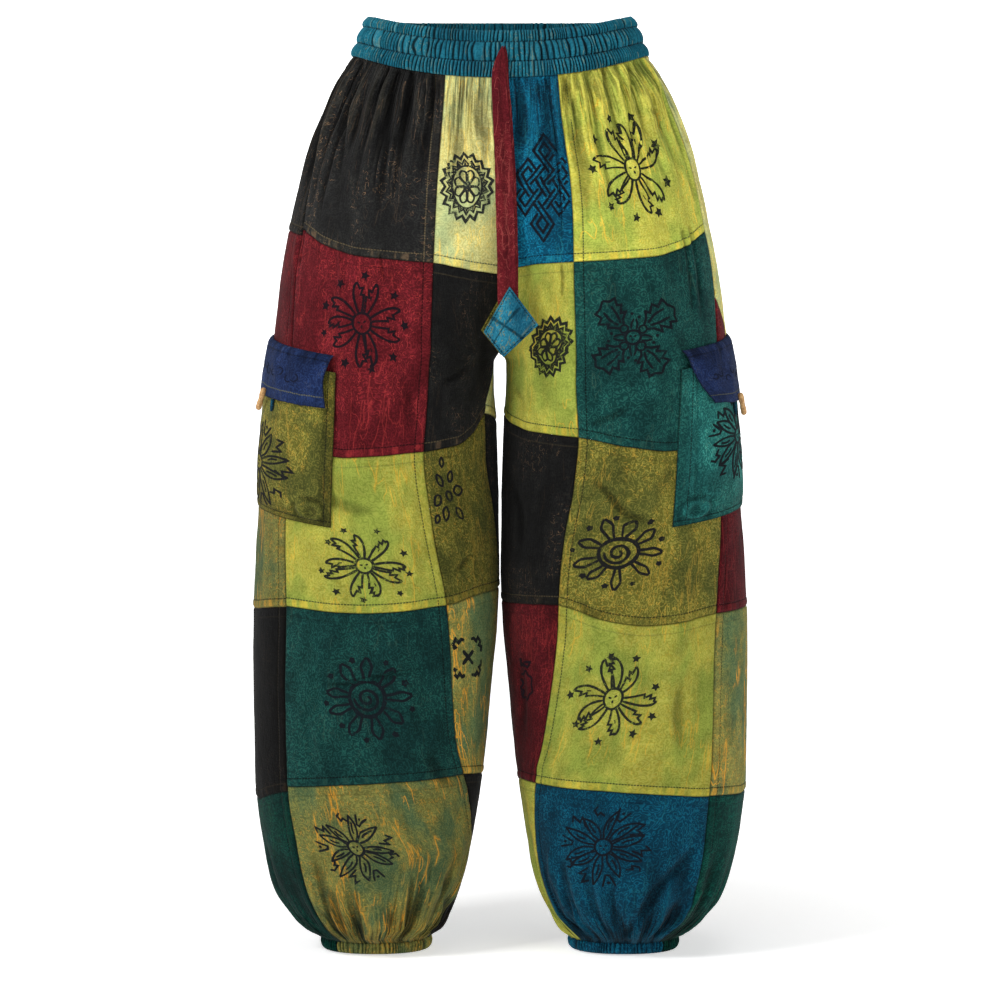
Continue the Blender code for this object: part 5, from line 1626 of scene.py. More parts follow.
def flap_edge_level(leg, turn):
    """Level of the flap's lower edge at a turn."""
    across = np.linspace(0.0, 1.0, 41)
    turns = flap_turns(leg, np.ones_like(across), across)
    levels = flap_levels(leg, np.ones_like(across), across)
    return float(np.interp(turn, turns[::-1], levels[::-1]))


def flap_puckers(turn, down):
    """Puckers of a flap along its sewn edge."""
    return ripple(PUCKER_SIZE, turn * TURN_LENGTH, down * 0.004, 0.0)


def flap_surface(leg, across, down, lift):
    """Points on a flap's outer face, or a little off it, with its hem, puckers, curl and frayed edge."""
    turn = flap_turns(leg, down, across)
    level = flap_levels(leg, down, across)
    spot = raised_point(leg, turn, level, np.zeros_like(turn))
    hem = FLAP_HEM_RISE * np.sin(math.pi * np.clip(down / FLAP_HEM, 0, 1)) ** 0.6
    stand = flap_base_stand(down) + CLOTH + hem
    stand = stand + PUCKER * flap_puckers(turn, down) * (1 - smooth(down, FLAP_PUCKERS_END, 0.5))
    soft = 0.0010 * noise(spot * (1, 1, 0.7), 0.018) + 0.0004 * noise(spot, 0.007) + 0.0009
    stand = stand + smooth(down, 0.15, 0.5) * soft
    if leg == "right":
        stand = stand + FLAP_CURL * bell(across, 0.22) * bell(down - 0.93, 0.10)
    ragged = FLAP_FRAY * ripple(0.0028, turn * TURN_LENGTH, 0.0, 4.0)
    return raised_point(leg, turn, level - ragged * smooth(down, 0.9, 1.0), stand + lift)


def flap(leg):
    """A pocket flap with a rolled top hem and frayed lower edges."""
    across, down = shares_grid(101, 49)
    puckers = flap_puckers(flap_turns(leg, down, across), down) * (1 - smooth(down, FLAP_PUCKERS_END, 0.3))
    outer = flap_surface(leg, across, down, 0.0)
    inner = flap_surface(leg, across, down, -CLOTH)[::4, ::4]
    start, end, top, bottom = distances(outer)
    outline = np.minimum(np.minimum(start, end), bottom)
    facts = {
        "cloth": joined(start, top, 0.0),
        "hem": joined(bottom + HEM_STITCH - 0.0110, start, FAR),
        "side": joined(FAR, start, np.minimum(outline, np.abs(top - FLAP_SEAM))),
        "pucker": puckers,
        # The puckers again: painted shade in their valleys, lighter tops
        "wear_and_shade": puckers,
    }
    piece = shell(f"{leg}_flap_cloth", outer, inner, cloth("navy"), facts)
    declare(piece, f"{leg}_flap")


def toggle(leg, finish):
    """A wooden toggle stick, lying on the flap's lower edge."""
    sizes = POCKETS[leg]
    middle_turn = sizes["toggle_turn"]
    top_level = flap_edge_level(leg, middle_turn) + TOGGLE_TOP * TOGGLE_LENGTH
    stand = float(flap_base_stand(np.array(1.0))) + CLOTH + SEAM_GAP + TOGGLE_RADIUS
    ends = []
    for share in (0.0, 1.0):
        turn = np.array([middle_turn + sizes["toggle_lean"] * (share - TOGGLE_TOP)])
        level = np.array([top_level - share * TOGGLE_LENGTH])
        ends.append(raised_point(leg, turn, level, np.array([stand]))[0])
    axis = unit(ends[1] - ends[0])
    side = unit(np.cross(axis, (0.0, 1.0, 0.0)))
    front = np.cross(axis, side)
    shares = np.linspace(0.0, 1.0, 41)
    angle = np.arange(TOGGLE_SIDES) * 2 * math.pi / TOGGLE_SIDES
    spokes = side * np.cos(angle)[:, None] + front * np.sin(angle)[:, None]
    size = TOGGLE_PROFILE.read("size", shares) * TOGGLE_RADIUS
    rough = 1 + 0.05 * ripple(0.003, shares[:, None] * 0.02, angle * 0.002, 0.0)
    rows = blend(ends[0], ends[1], shares[:, None])[:, None, :] + spokes * (size[:, None] * rough)[..., None]
    faces = tube_faces(len(shares), TOGGLE_SIDES)
    piece = mesh_object(f"{leg}_toggle_wood", rows.reshape(-1, 3), faces, finish)
    stand_for(piece, f"{leg}_toggle")


LOOP_GAP = 0.0008
LOOP_APART = 3.0


def loop(leg):
    """The folded cloth tab beside the toggle."""
    sizes = POCKETS[leg]
    radius = float(section(np.array(sizes["top"]))[1])
    half_turn = math.degrees(LOOP_WIDTH / 2 / radius)
    top_level = min(flap_edge_level(leg, sizes["loop_turn"] + side * half_turn) for side in (-1, 1))
    across, down = np.meshgrid(np.linspace(1.0, -1.0, 17), np.linspace(0.0, 1.0, 25))
    turn = sizes["loop_turn"] + half_turn * LOOP_TAPER.read("width", down) * across
    level = top_level - 2 * SEAM_GAP - down * LOOP_LENGTH
    under = POCKET_LIFT + POCKET_HOLLOW + CLOTH + LOOP_GAP
    plump = CLOTH * (0.75 + 0.45 * (1 - across ** 4)) - 0.0006 * bell(across + 0.1, 0.16)
    outer = raised_point(leg, turn, level, under + plump)
    inner = raised_point(leg, turn, level, np.full_like(turn, under))[::4, ::4]
    start, end, top, _ = distances(outer)
    edge = np.minimum(start, end)
    facts = {
        "cloth": joined(start + LOOP_APART, top, 0.0),
        "hem": np.full((*start.shape, 3), FAR),
        "side": joined(edge + SIDE_STITCH - 0.0010, top, edge),
        "pucker": np.zeros_like(start),
        # Highest in the loop's middle, so its sides get a little painted shade
        "wear_and_shade": (1 - across ** 2) * 0.5,
    }
    piece = shell(f"{leg}_loop_cloth", outer, inner, cloth("blue"), facts)
    stand_for(piece, f"{leg}_loop")


# ---------------------------------------------------------------- block prints
# Motifs are drawn here from plain shapes, in millimetres: x to the right as it is seen, and y up.
INK = 2.5
INK_LIFT = 0.0003
INK_DEPTH = 0.0002
INK_STEP = 2.0
INK_MARGIN = 0.0007


def rounded(points, closed=False):
    """Points along a smooth curve through the given ones."""
    points = np.array(points, float)
    if closed:
        padded = np.concatenate((points[-1:], points, points[:2]))
    else:
        padded = np.concatenate((2 * points[:1] - points[1:2], points, 2 * points[-1:] - points[-2:-1]))
    pieces = []
    for a, b, c, d in zip(padded, padded[1:], padded[2:], padded[3:]):
        count = max(1, math.ceil(np.linalg.norm(c - b) / INK_STEP))
        share = np.arange(count)[:, None] / count
        cubic = 2 * b + (c - a) * share + (2 * a - 5 * b + 4 * c - d) * share ** 2
        cubic += (3 * b - a - 3 * c + d) * share ** 3
        pieces.append(cubic / 2)
    if not closed:
        pieces.append(points[-1:])
    return np.concatenate(pieces)


def angular(points):
    """Points along straight lines through the given ones."""
    points = np.array(points, float)
    pieces = []
    for a, b in zip(points, points[1:]):
        count = max(1, math.ceil(np.linalg.norm(b - a) / INK_STEP))
        pieces.append(blend(a, b, np.arange(count)[:, None] / count))
    return np.concatenate((*pieces, points[-1:]))


def petal_place(points, angle, bend, reach):
    """Points given as (out, across) on a petal, turned to its angle and bent towards its tip."""
    points = np.array(points, float)
    turn = angle + bend * (points[:, 0] / reach) ** 2
    out = joined(np.cos(turn), np.sin(turn))
    across = joined(-np.sin(turn), np.cos(turn))
    return out * points[:, :1] + across * points[:, 1:]


def polar(out, angle):
    """Point at a distance and an angle from the middle."""
    return np.array((out * math.cos(angle), out * math.sin(angle)))


class Motif:
    """Strokes and solid spots of one block print."""

    def __init__(self, seed, squash=(1.0, 1.0)):
        self.random = np.random.default_rng(seed)
        self.squash = np.array(squash)
        self.strokes = []
        self.spots = []

    def about(self, low, high):
        """A random number between two."""
        return low + (high - low) * self.random.random()

    def spoke(self, number, count, loose):
        """Angle of one of a count of spokes, off by up to a share of their spacing."""
        return 2 * math.pi * (number + self.about(-loose, loose)) / count

    def stroke(self, points, width=INK, closed=False):
        """A line of ink."""
        self.strokes.append((np.array(points, float) * self.squash, width, closed))

    def spot(self, points):
        """A solid patch of ink."""
        self.spots.append(np.array(points, float) * self.squash)

    def ring(self, radius, width=INK, centre=(0.0, 0.0), tall=1.0):
        """A slightly uneven ring."""
        count = max(12, round(radius * 3.4))
        angle = np.arange(count) / count * 2 * math.pi
        size = radius * (1 + 0.035 * np.sin(2 * angle + self.about(0, 6)) + 0.02 * np.sin(3 * angle))
        across, up = size * np.cos(angle), tall * size * np.sin(angle)
        self.stroke(joined(centre[0] + across, centre[1] + up), width, True)

    def star(self, place, radius, corners, depth):
        """A small solid star, its arms uneven and cut in to a share of their length."""
        angle = np.arange(2 * corners) * math.pi / corners + self.about(0, 6)
        size = np.where(np.arange(2 * corners) % 2 == 0, 1.0, depth) * radius
        size = size * (0.85 + 0.3 * self.random.random(2 * corners))
        self.spot(joined(place[0] + size * np.cos(angle), place[1] + size * np.sin(angle)))

    def dashes(self, radius):
        """The small mark inside a flower's eye."""
        for number in range(3):
            angle = 0.6 + number * 2.1 + self.about(-0.3, 0.3)
            self.stroke(angular((polar(0.3 * radius, angle), polar(0.85 * radius, angle))), 1.9)


def split_flower(seed, radius, petals=9, eye=8.8, tilt=0.2, squash=(1.0, 1.0)):
    """A flower of long petals, smooth on one edge and cut on the other, with stars between them."""
    m = Motif(seed, squash)
    m.ring(eye, 2.5, tall=1.08)
    m.dashes(eye * 0.6)
    for number in range(petals):
        angle = tilt + m.spoke(number, petals, 0.16)
        reach = radius * m.about(0.90, 1.06)
        side = 1 if m.random.random() < 0.5 else -1
        bend = -side * m.about(0.05, 0.30)
        flip = np.array((1.0, side))
        back = ((eye + 0.8, 1.8), (0.45 * reach, 3.6), (0.70 * reach, 5.0), (0.90 * reach, 4.0))
        low = m.about(0.60, 0.70) * reach
        deep = m.about(5.2, 7.0)
        stem = rounded(((eye + 0.8, -1.8), (0.38 * reach, -3.2), (0.54 * reach, -5.0), (low, -deep)))
        teeth = [
            (low, -deep), (low + 0.6, -deep * 0.42), (low + 7.0, -deep * 0.95), (low + 6.6, -deep * 0.28),
        ]
        if m.random.random() < 0.4:
            teeth += [(low + 11.6, -deep * 0.50), (low + 11.0, 0.2)]
        front = np.concatenate((stem[:-1], angular(teeth + [(reach, 0.8)])))
        m.stroke(petal_place(rounded(back + ((reach, 0.8),)) * flip, angle, bend, reach), INK)
        m.stroke(petal_place(front * flip, angle, bend, reach), INK * 0.9)
        if number % 3 == 1:
            m.stroke(petal_place(((0.58 * reach, 0.0), (0.68 * reach, 0.6)), angle, bend, reach), 1.9)
        between = angle + math.pi / petals + m.about(-0.06, 0.06)
        m.star(polar(radius * m.about(1.0, 1.09), between), m.about(4.2, 5.4), 5, 0.5)
    return m


def spiral_sun(seed, radius, petals=9, tilt=0.1, squash=(1.0, 1.0)):
    """A sun with a spiral in its disc, pointed petals round it and small stones between them."""
    m = Motif(seed, squash)
    disc = 0.42 * radius
    m.ring(disc, 4.0)
    turn = np.linspace(0.0, 3.4 * math.pi, 44)
    size = 1.6 + (disc - 6.4) * (turn / turn[-1]) ** 0.9
    m.stroke(joined(size * np.cos(1.2 - turn), size * np.sin(1.2 - turn)), 3.0)
    start = disc + 1.4
    for number in range(petals):
        angle = tilt + m.spoke(number, petals, 0.12)
        reach = radius * m.about(0.94, 1.06)
        wide = m.about(4.6, 6.0)
        bend = m.about(-0.14, 0.14)
        half = ((0.0, 2.2), (0.30, wide * 0.70), (0.60, wide), (0.84, wide * 0.55), (1.0, 0.3))
        for side in (1, -1):
            edge = [(blend(start, reach, share), side * across) for share, across in half]
            m.stroke(petal_place(rounded(edge), angle, bend, reach), 2.8)
        stone = polar(radius * m.about(0.94, 1.04), angle + math.pi / petals)
        m.star(stone, m.about(3.2, 4.2), 5, 0.75)
    return m


def rosette(seed, radius, petals=8, teeth=18, squash=(1.0, 1.0)):
    """A rosette in a ring, with two toothed borders round it."""
    m = Motif(seed, squash)
    m.star((0, 0), 2.8, 6, 0.85)
    half = ((0.12, 0.02), (0.26, 0.09), (0.40, 0.13), (0.50, 0.0))
    petal = [(out * radius, side * radius) for out, side in half]
    petal += [(out * radius, -side * radius) for out, side in reversed(half[:-1])]
    for number in range(petals):
        angle = 2 * math.pi * (number + 0.5) / petals
        m.stroke(petal_place(rounded(petal, True), angle, 0.0, radius), 2.1, True)
    m.ring(0.60 * radius, 2.5)
    for low, high, width in ((0.66, 0.80, 1.9), (0.84, 1.0, 2.9)):
        corners = []
        for number in range(2 * teeth):
            out = radius * ((high if number % 2 else low) + m.about(-0.015, 0.015))
            corners.append(polar(out, math.pi * number / teeth))
        m.stroke(angular(corners + corners[:1])[:-1], width, True)
    wedge = ((0.615 * radius, -0.075 * radius), (0.615 * radius, 0.075 * radius), (0.75 * radius, 0.0))
    for number in range(teeth):
        m.spot(petal_place(wedge, 2 * math.pi * (number + 0.5) / teeth, 0.0, radius))
    return m


KNOT_CROSSINGS = ((2, 1), (1, 2), (3, 2), (0, 3), (2, 3), (4, 3), (1, 4), (3, 4), (2, 5))
KNOT_LOOPS = (
    ((2, 1), (1, 0), (2, -1), (3, 0), (2, 1)), ((2, 5), (1, 6), (2, 7), (3, 6), (2, 5)),
    ((1, 2), (0, 1), (-1, 2), (0, 3)), ((0, 3), (-1, 4), (0, 5), (1, 4)),
    ((3, 2), (4, 1), (5, 2), (4, 3)), ((4, 3), (5, 4), (4, 5), (3, 4)),
)


def endless_knot(seed, wide, tall, band=2.5):
    """The woven endless knot: bands drawn by both their edges, over and under by turns."""
    m = Motif(seed)
    cell = np.array((wide / 6, tall / 8))
    runs = list(KNOT_LOOPS)
    for x, y in KNOT_CROSSINGS:
        for side in (-1, 1):
            if (x + side, y + 1) in KNOT_CROSSINGS:
                runs.append(((x, y), (x + side, y + 1)))
    for run in runs:
        line = (np.array(run, float) - (2, 3)) * cell * (1, -1)
        for end in (0, -1):
            step = 1 if end == 0 else -2
            slant = (run[step][0] - run[end][0]) * (run[step][1] - run[end][1])
            over = (slant > 0) == (run[end][0] % 2 == 0)
            away = line[step] - line[end]
            trim = 0.0 if over else (band + 1.6) / np.linalg.norm(away)
            line[end] = line[end] + away * trim
        for side in (1, -1):
            m.stroke(angular(beside(line, side * band)), 2.8)
    return m


def beside(line, away):
    """A line moved sideways, its corners kept."""
    along = unit(np.diff(line, axis=0))
    normal = joined(-along[:, 1], along[:, 0])
    corners = [line[0] + normal[0] * away]
    for before, after, place in zip(normal, normal[1:], line[1:-1]):
        both = before + after
        corners.append(place + both * away / max(0.3, both @ both / 2))
    corners.append(line[-1] + normal[-1] * away)
    return corners


def leaf_cross(seed, radius, squash=(1.0, 1.0)):
    """Four broad cut leaves in a cross, a bud at the foot of each, and slim leaves between them."""
    m = Motif(seed, squash)
    m.ring(7.6, 2.5)
    m.dashes(4.6)
    half = (
        (0.30, 0.04), (0.42, 0.13), (0.50, 0.25), (0.55, 0.17), (0.68, 0.31), (0.74, 0.20), (0.88, 0.27),
        (0.90, 0.13), (1.0, 0.0),
    )
    half_vein = ((0.40, 0.03), (0.58, 0.09), (0.80, 0.10))
    half_slim = ((8.8, 2.6), (14.0, 3.0), (20.0, 1.0))
    for number in range(4):
        angle = math.pi / 4 + number * math.pi / 2 + m.about(-0.08, 0.08)
        reach = radius * m.about(0.97, 1.08)
        bend = m.about(-0.12, 0.12)
        m.ring(m.about(4.0, 4.8), 2.0, polar(13.0, angle))
        for side in (1, -1):
            leaf = [(out * reach, side * across * reach * m.about(0.9, 1.1)) for out, across in half]
            m.stroke(petal_place(angular(leaf), angle, bend, reach), 2.6)
            vein = [(out * reach, side * across * reach) for out, across in half_vein]
            m.stroke(petal_place(rounded(vein), angle, bend, reach), 2.6)
        between = angle + math.pi / 4
        for side in (1, -1):
            slim = [(out, side * across) for out, across in half_slim]
            m.stroke(petal_place(rounded(slim), between, 0.0, reach), 2.0)
        for place in ((25.0, 3.4), (22.0, -4.4)):
            m.star(petal_place((place,), between, 0.0, reach)[0], 2.0, 4, 0.8)
    return m


HOOKS = (
    ((0.62, -0.02), (0.86, -0.13), (0.80, 0.0), (1.02, 0.03), (0.90, 0.14)),
    ((0.98, -0.15), (0.70, -0.04), (0.72, 0.04), (1.0, 0.13)),
    ((0.74, -0.12), (0.84, -0.03), (0.78, 0.04), (0.92, 0.10), (1.0, 0.02)),
)


def angle_flower(seed, radius, petals=9, eye=8.0, tilt=0.1, squash=(1.0, 1.0)):
    """A flower of slim veined petals, with hooks, angles and dots filling the round between them."""
    m = Motif(seed, squash)
    m.ring(eye, 2.4)
    m.dashes(eye * 0.55)
    for number in range(petals):
        angle = tilt + m.spoke(number, petals, 0.14)
        reach = radius * m.about(0.84, 1.0)
        bend = m.about(-0.2, 0.2)
        wide = m.about(3.4, 4.8)
        half = ((eye + 0.8, 1.5), (0.45 * reach, wide), (0.72 * reach, wide * 0.9))
        for side in (1, -1):
            edge = [(out, side * across) for out, across in half]
            m.stroke(petal_place(rounded(edge + [(reach, 0.3)]), angle, bend, reach), 2.1)
        vein = ((0.44 * reach, 0.0), (0.58 * reach, 0.9), (m.about(0.66, 0.80) * reach, 0.0))
        m.stroke(petal_place(rounded(vein), angle, bend, reach), 1.9)
        between = angle + math.pi / petals
        line = [(out * radius, across * radius) for out, across in HOOKS[number % 3]]
        m.stroke(petal_place(angular(line), between, 0.0, radius), 2.2)
        if number % 3 == 1:
            dot = petal_place(((0.90 * radius, -0.01 * radius),), between, 0.0, radius)[0]
            m.star(dot, 1.8, 4, 0.9)
    return m


def leaf_cluster(seed, radius):
    """Small leaves heaped round a ring."""
    m = Motif(seed, (0.72, 1.0))
    m.ring(4.6, 2.4, (0.0, -1.0))
    outline = np.array(((-5.5, 0.0), (-2.0, 3.4), (2.5, 3.2), (6.5, 0.0), (2.5, -3.2), (-2.0, -3.4)))
    places = (
        # angle, distance as a share of the radius, size
        (0.25, 0.52, 1.3), (1.2, 0.60, 1.0), (2.2, 0.55, 1.1), (3.4, 0.62, 1.2), (4.2, 0.66, 1.25),
        (5.3, 0.70, 1.2), (1.7, 1.02, 0.8), (3.9, 1.08, 0.8),
    )
    for angle, out, size in places:
        leaf = petal_place(outline * size, angle + m.about(-0.5, 0.5), 0.0, radius)
        m.stroke(rounded(leaf + polar(out * radius, angle), True), 2.3, True)
    return m


def bracket_cross(seed, radius):
    """A cross between four crooked brackets."""
    m = Motif(seed)
    for turn in (0.70, -0.80):
        arm = polar(0.46 * radius, turn)
        m.stroke(angular((-arm, arm)), 4.0)
    bracket = (
        (0.96, 0.20), (0.98, 0.46), (0.78, 0.56), (0.94, 0.72), (0.72, 0.96), (0.56, 0.78), (0.42, 0.94),
        (0.20, 0.88),
    )
    for right in (1, -1):
        for up in (1, -1):
            line = [(right * x * radius + m.about(-0.8, 0.8), up * y * radius * 0.92) for x, y in bracket]
            m.stroke(angular(line), 3.6)
    return m


def cloud(seed, radius):
    """A scalloped cloud under a small pennant."""
    m = Motif(seed)
    angle = np.linspace(-2.6, 2.4, 12)
    size = radius * (0.46 + 0.10 * (np.arange(12) % 2))
    m.stroke(rounded(joined(3 + size * np.cos(angle), -8 + size * np.sin(angle) * 1.1)), 2.3)
    m.stroke(rounded(((-9, -2), (-4, -6), (-8, -12), (-3, -15), (-5, -20))), 3.0)
    m.stroke(angular(((-6, 20), (-4, 15), (8, 12), (12, 18), (2, 17), (-2, 12))), 2.6)
    m.spot(((-9, 20), (-4, 21), (-3, 12), (-8, 11)))
    return m


def scrolls(seed, wide, tall):
    """Loose curls across a flap."""
    m = Motif(seed)
    for number in range(7):
        x = wide * (number / 6 - 0.5) + m.about(-2, 2)
        y = tall * m.about(-0.3, 0.3)
        turn = np.linspace(0.0, m.about(3.5, 5.5), 12)
        size = m.about(3.5, 5.5) * (1 - 0.12 * turn)
        spin = m.about(0, 6)
        m.stroke(joined(x + size * np.cos(turn + spin), y + size * np.sin(turn + spin)), 1.4)
    return m


def patch_place(leg, column, row, share, level):
    """Finds the cloth at places of a motif whose middle is at a share and level of a patch."""
    arcs = ARCS[leg, column]

    def at(places, lift):
        """Points, places on the cloth, and which of them are well inside it."""
        levels = level + places[:, 1] / 1000
        wanted = arcs.read(np.full_like(levels, share), levels) - SIDES[leg] * places[:, 0] / 1000
        widths = arcs.read(np.ones_like(levels), levels)
        shares = np.clip(wanted / widths, 0.0, 1.0)
        for _ in range(5):
            shares = np.clip(shares + (wanted - arcs.read(shares, levels)) / widths, 0.0, 1.0)
        inside = (wanted > INK_MARGIN) & (wanted < widths - INK_MARGIN)
        inside &= levels < cross_seam(leg, column, row - 1, shares) - INK_MARGIN
        inside &= levels > cross_seam(leg, column, row, shares) + INK_MARGIN
        points, facts = cloth_surface(leg, column, row, shares, levels, lift)
        return points, facts["cloth"], inside

    return at


def cover_place(leg, surface, size, across, down):
    """Finds a pocket's or flap's cloth at places of a motif whose middle is at shares of its size."""
    def at(places, lift):
        """Points, places on the cloth, and which of them are well inside it."""
        shares = across + SIDES[leg] * places[:, 0] / 1000 / size[0]
        downs = down - places[:, 1] / 1000 / size[1]
        inside = (shares > 0.03) & (shares < 0.97) & (downs > 0.03) & (downs < 0.96)
        shares = np.clip(shares, 0.0, 1.0)
        downs = np.clip(downs, 0.0, 1.0)
        points = surface(leg, shares, downs, lift)
        return points, joined(shares * size[0], downs * size[1], 0 * downs), inside

    return at


def runs_of(inside):
    """First and last index of each run of True."""
    edges = np.flatnonzero(np.diff(np.concatenate(([0], inside.astype(int), [0]))))
    return [(a, b) for a, b in zip(edges[::2], edges[1::2]) if b - a > 1]


class InkBody:
    """Closed thin bodies of ink, as places on a motif with their heights over the cloth, and faces."""

    def __init__(self):
        self.places = []
        self.lifts = []
        self.faces = []
        self.count = 0

    def add(self, places, lifts, faces):
        """One more body, its faces numbered from its own first point."""
        self.places.append(places)
        self.lifts.append(lifts)
        self.faces.extend([[int(number) + self.count for number in face] for face in faces])
        self.count += len(places)

    def strip(self, left, right, closed):
        """A strip of ink between two lines."""
        rows = len(left)
        numbers = np.arange(rows * 4).reshape(rows, 4)
        wrapped = np.concatenate((numbers, numbers[:, :1]), axis=1)
        ends = [] if closed else [numbers[0], numbers[-1, ::-1]]
        if closed:
            wrapped = np.concatenate((wrapped, wrapped[:1]))
        places = np.stack((left, right, right, left), axis=1).reshape(-1, 2)
        lifts = np.tile((INK_LIFT, INK_LIFT, -INK_DEPTH, -INK_DEPTH), rows)
        self.add(places, lifts, ends + grid_faces(wrapped))

    def plate(self, outline):
        """A solid spot of ink, its faces meeting in the middle."""
        size = len(outline)
        middle = outline.mean(axis=0, keepdims=True)
        faces = []
        for i in range(size):
            j = (i + 1) % size
            low_i, low_j = i + size + 1, j + size + 1
            faces += [(i, j, size), (low_j, low_i, 2 * size + 1), (j, i, low_i, low_j)]
        lifts = np.repeat((INK_LIFT, -INK_DEPTH), size + 1)
        self.add(np.concatenate((outline, middle, outline, middle)), lifts, faces)


def stroke_sides(line, width, closed):
    """The two sides of a stroke of uneven width, mitred at its corners and thinner at its ends."""
    ahead = np.roll(line, -1, axis=0) - line
    if not closed:
        ahead[-1] = ahead[-2]
    ahead = unit(ahead)
    behind = np.roll(ahead, 1, axis=0)
    if not closed:
        behind[0] = ahead[0]
    both = unit(ahead + behind + 1e-9)
    normal = joined(-both[:, 1], both[:, 0])
    miter = 1 / np.maximum(0.62, np.abs((ahead * both).sum(axis=1)))
    uneven = 1 + 0.22 * ripple(0.004, line[:, 0] / 1000, line[:, 1] / 1000, width / 1000)
    half = width / 2 * miter * uneven
    if not closed:
        half[[0, -1]] *= 0.6
    return line + normal * half[:, None], line - normal * half[:, None]


PRINT_SHARP = 80


def print_motif(name, motif, at, finish):
    """One motif as thin ink on the cloth, cut off where its cloth ends."""
    body = InkBody()
    for line, width, closed in motif.strokes:
        left, right = stroke_sides(line, width, closed)
        inside = at(left, 0.0)[2] & at(right, 0.0)[2]
        if closed and inside.all():
            body.strip(left, right, True)
            continue
        for a, b in runs_of(inside):
            body.strip(left[a:b], right[a:b], False)
    for outline in motif.spots:
        if at(outline, 0.0)[2].all():
            body.plate(outline)
    points, cloth_places, _ = at(np.concatenate(body.places), np.concatenate(body.lifts))
    piece = mesh_object("print_" + name, points, body.faces, finish, {"cloth": cloth_places}, PRINT_SHARP)
    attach(piece, "root")


PRINTS = (
    # leg, column, row, share, level, motif
    ("left", "front_inner", 1, 0.40, -0.153, lambda: rosette(1, 26.5, 8, 18, (1.0, 1.62))),
    ("left", "front_main", 2, 0.62, -0.305, lambda: split_flower(2, 42, 9, 9.5, 0.3, (0.98, 1.08))),
    ("left", "front_main", 3, 0.57, -0.553, lambda: split_flower(3, 44, 9, 9.0, 0.1, (1.0, 0.80))),
    ("left", "front_main", 4, 0.50, -0.691, lambda: spiral_sun(4, 44, 9, 0.05, (1.0, 0.98))),
    ("left", "front_main", 5, 0.28, -0.849, lambda: angle_flower(5, 42, 9, 8.5, 0.0, (1.0, 0.9))),
    ("left", "front_inner", 3, 0.23, -0.481, lambda: leaf_cluster(6, 33)),
    ("left", "front_inner", 4, 0.20, -0.652, lambda: bracket_cross(7, 23)),
    ("right", "front_inner", 1, 0.34, -0.153, lambda: endless_knot(8, 52, 122, 2.6)),
    ("right", "front_main", 1, 0.63, -0.135, lambda: split_flower(9, 42, 9, 8.5, 0.1, (0.97, 1.36))),
    ("right", "front_inner", 2, 0.22, -0.329, lambda: rosette(10, 27, 8, 17, (0.92, 1.12))),
    ("right", "front_main", 2, 0.71, -0.319, lambda: leaf_cross(11, 50, (1.0, 0.95))),
    ("right", "front_main", 3, 0.68, -0.540, lambda: spiral_sun(12, 46, 9, 0.0, (1.02, 0.80))),
    ("right", "front_main", 4, 0.62, -0.691, lambda: split_flower(13, 43, 9, 9.8, 0.0)),
    ("right", "front_main", 5, 0.51, -0.848, lambda: angle_flower(14, 46, 10, 9.0, 0.2, (1.05, 0.95))),
    ("right", "front_inner", 4, 0.33, -0.675, lambda: cloud(15, 26)),
    ("left", "back_main", 1, 0.44, -0.135, lambda: split_flower(16, 41, 9, 9.0)),
    ("left", "back_main", 2, 0.40, -0.330, lambda: leaf_cross(17, 48)),
    ("left", "back_main", 3, 0.42, -0.525, lambda: spiral_sun(18, 44)),
    ("left", "back_main", 4, 0.42, -0.705, lambda: split_flower(19, 38, 9, 9.0)),
    ("left", "back_main", 5, 0.40, -0.865, lambda: angle_flower(20, 40)),
    ("right", "back_main", 1, 0.42, -0.150, lambda: angle_flower(21, 42)),
    ("right", "back_main", 2, 0.40, -0.360, lambda: split_flower(22, 38, 9, 9.0)),
    ("right", "back_main", 3, 0.40, -0.515, lambda: split_flower(23, 36, 9, 9.0)),
    ("right", "back_main", 4, 0.40, -0.700, lambda: spiral_sun(24, 44)),
    ("right", "back_main", 5, 0.42, -0.865, lambda: split_flower(25, 38, 9, 9.0)),
)


COVER_PRINTS = (
    # leg, piece, cloth, surface, its sizes, shares across and down, motif
    (
        "left", "pocket", "olive", pocket_surface, POCKET_SIZES, 0.63, 0.70,
        lambda: angle_flower(30, 46, 10, 8.5, 0.3),
    ),
    (
        "right", "pocket", "teal", pocket_surface, POCKET_SIZES, 0.56, 0.52,
        lambda: angle_flower(31, 42, 11, 7.0, 0.3, (0.9, 1.05)),
    ),
    ("left", "flap", "navy", flap_surface, FLAP_SIZES, 0.42, 0.52, lambda: scrolls(32, 52, 16)),
    ("right", "flap", "navy", flap_surface, FLAP_SIZES, 0.42, 0.52, lambda: scrolls(33, 52, 16)),
)


def prints():
    """Every motif on the legs' patches, the pockets and the flaps."""
    for leg, column, row, share, level, drawn in PRINTS:
        name = f"{leg}_{column}_{row}"
        colour = PATCH_FINISHES.get(name, PATCH_COLOURS[f"{leg}_{column}"][row - 1])
        print_motif(name, drawn(), patch_place(leg, column, row, share, level), ink(colour))
    for leg, piece, colour, surface, sizes, across, down, drawn in COVER_PRINTS:
        place = cover_place(leg, surface, sizes[leg], across, down)
        print_motif(f"{leg}_{piece}", drawn(), place, ink(colour))


# ---------------------------------------------------------------- drawstring
def cad_cloth_point(leg, column, share, level):
    """Point of the solids' cloth, which the straps hang from."""
    turn = column_turn(leg, column, share, level)
    waist = GATHER_DEPTH.read("waist", level) * np.cos(2 * math.pi * WAIST_GATHERS[column] * share)
    cuffs = GATHER_DEPTH.read("cuff", level) * np.cos(2 * math.pi * CUFF_GATHERS[column] * share)
    relief = waist + cuffs + fold_relief(leg, turn, level)
    return leg_point(turn, level) + outward(turn, level) * relief[..., None]


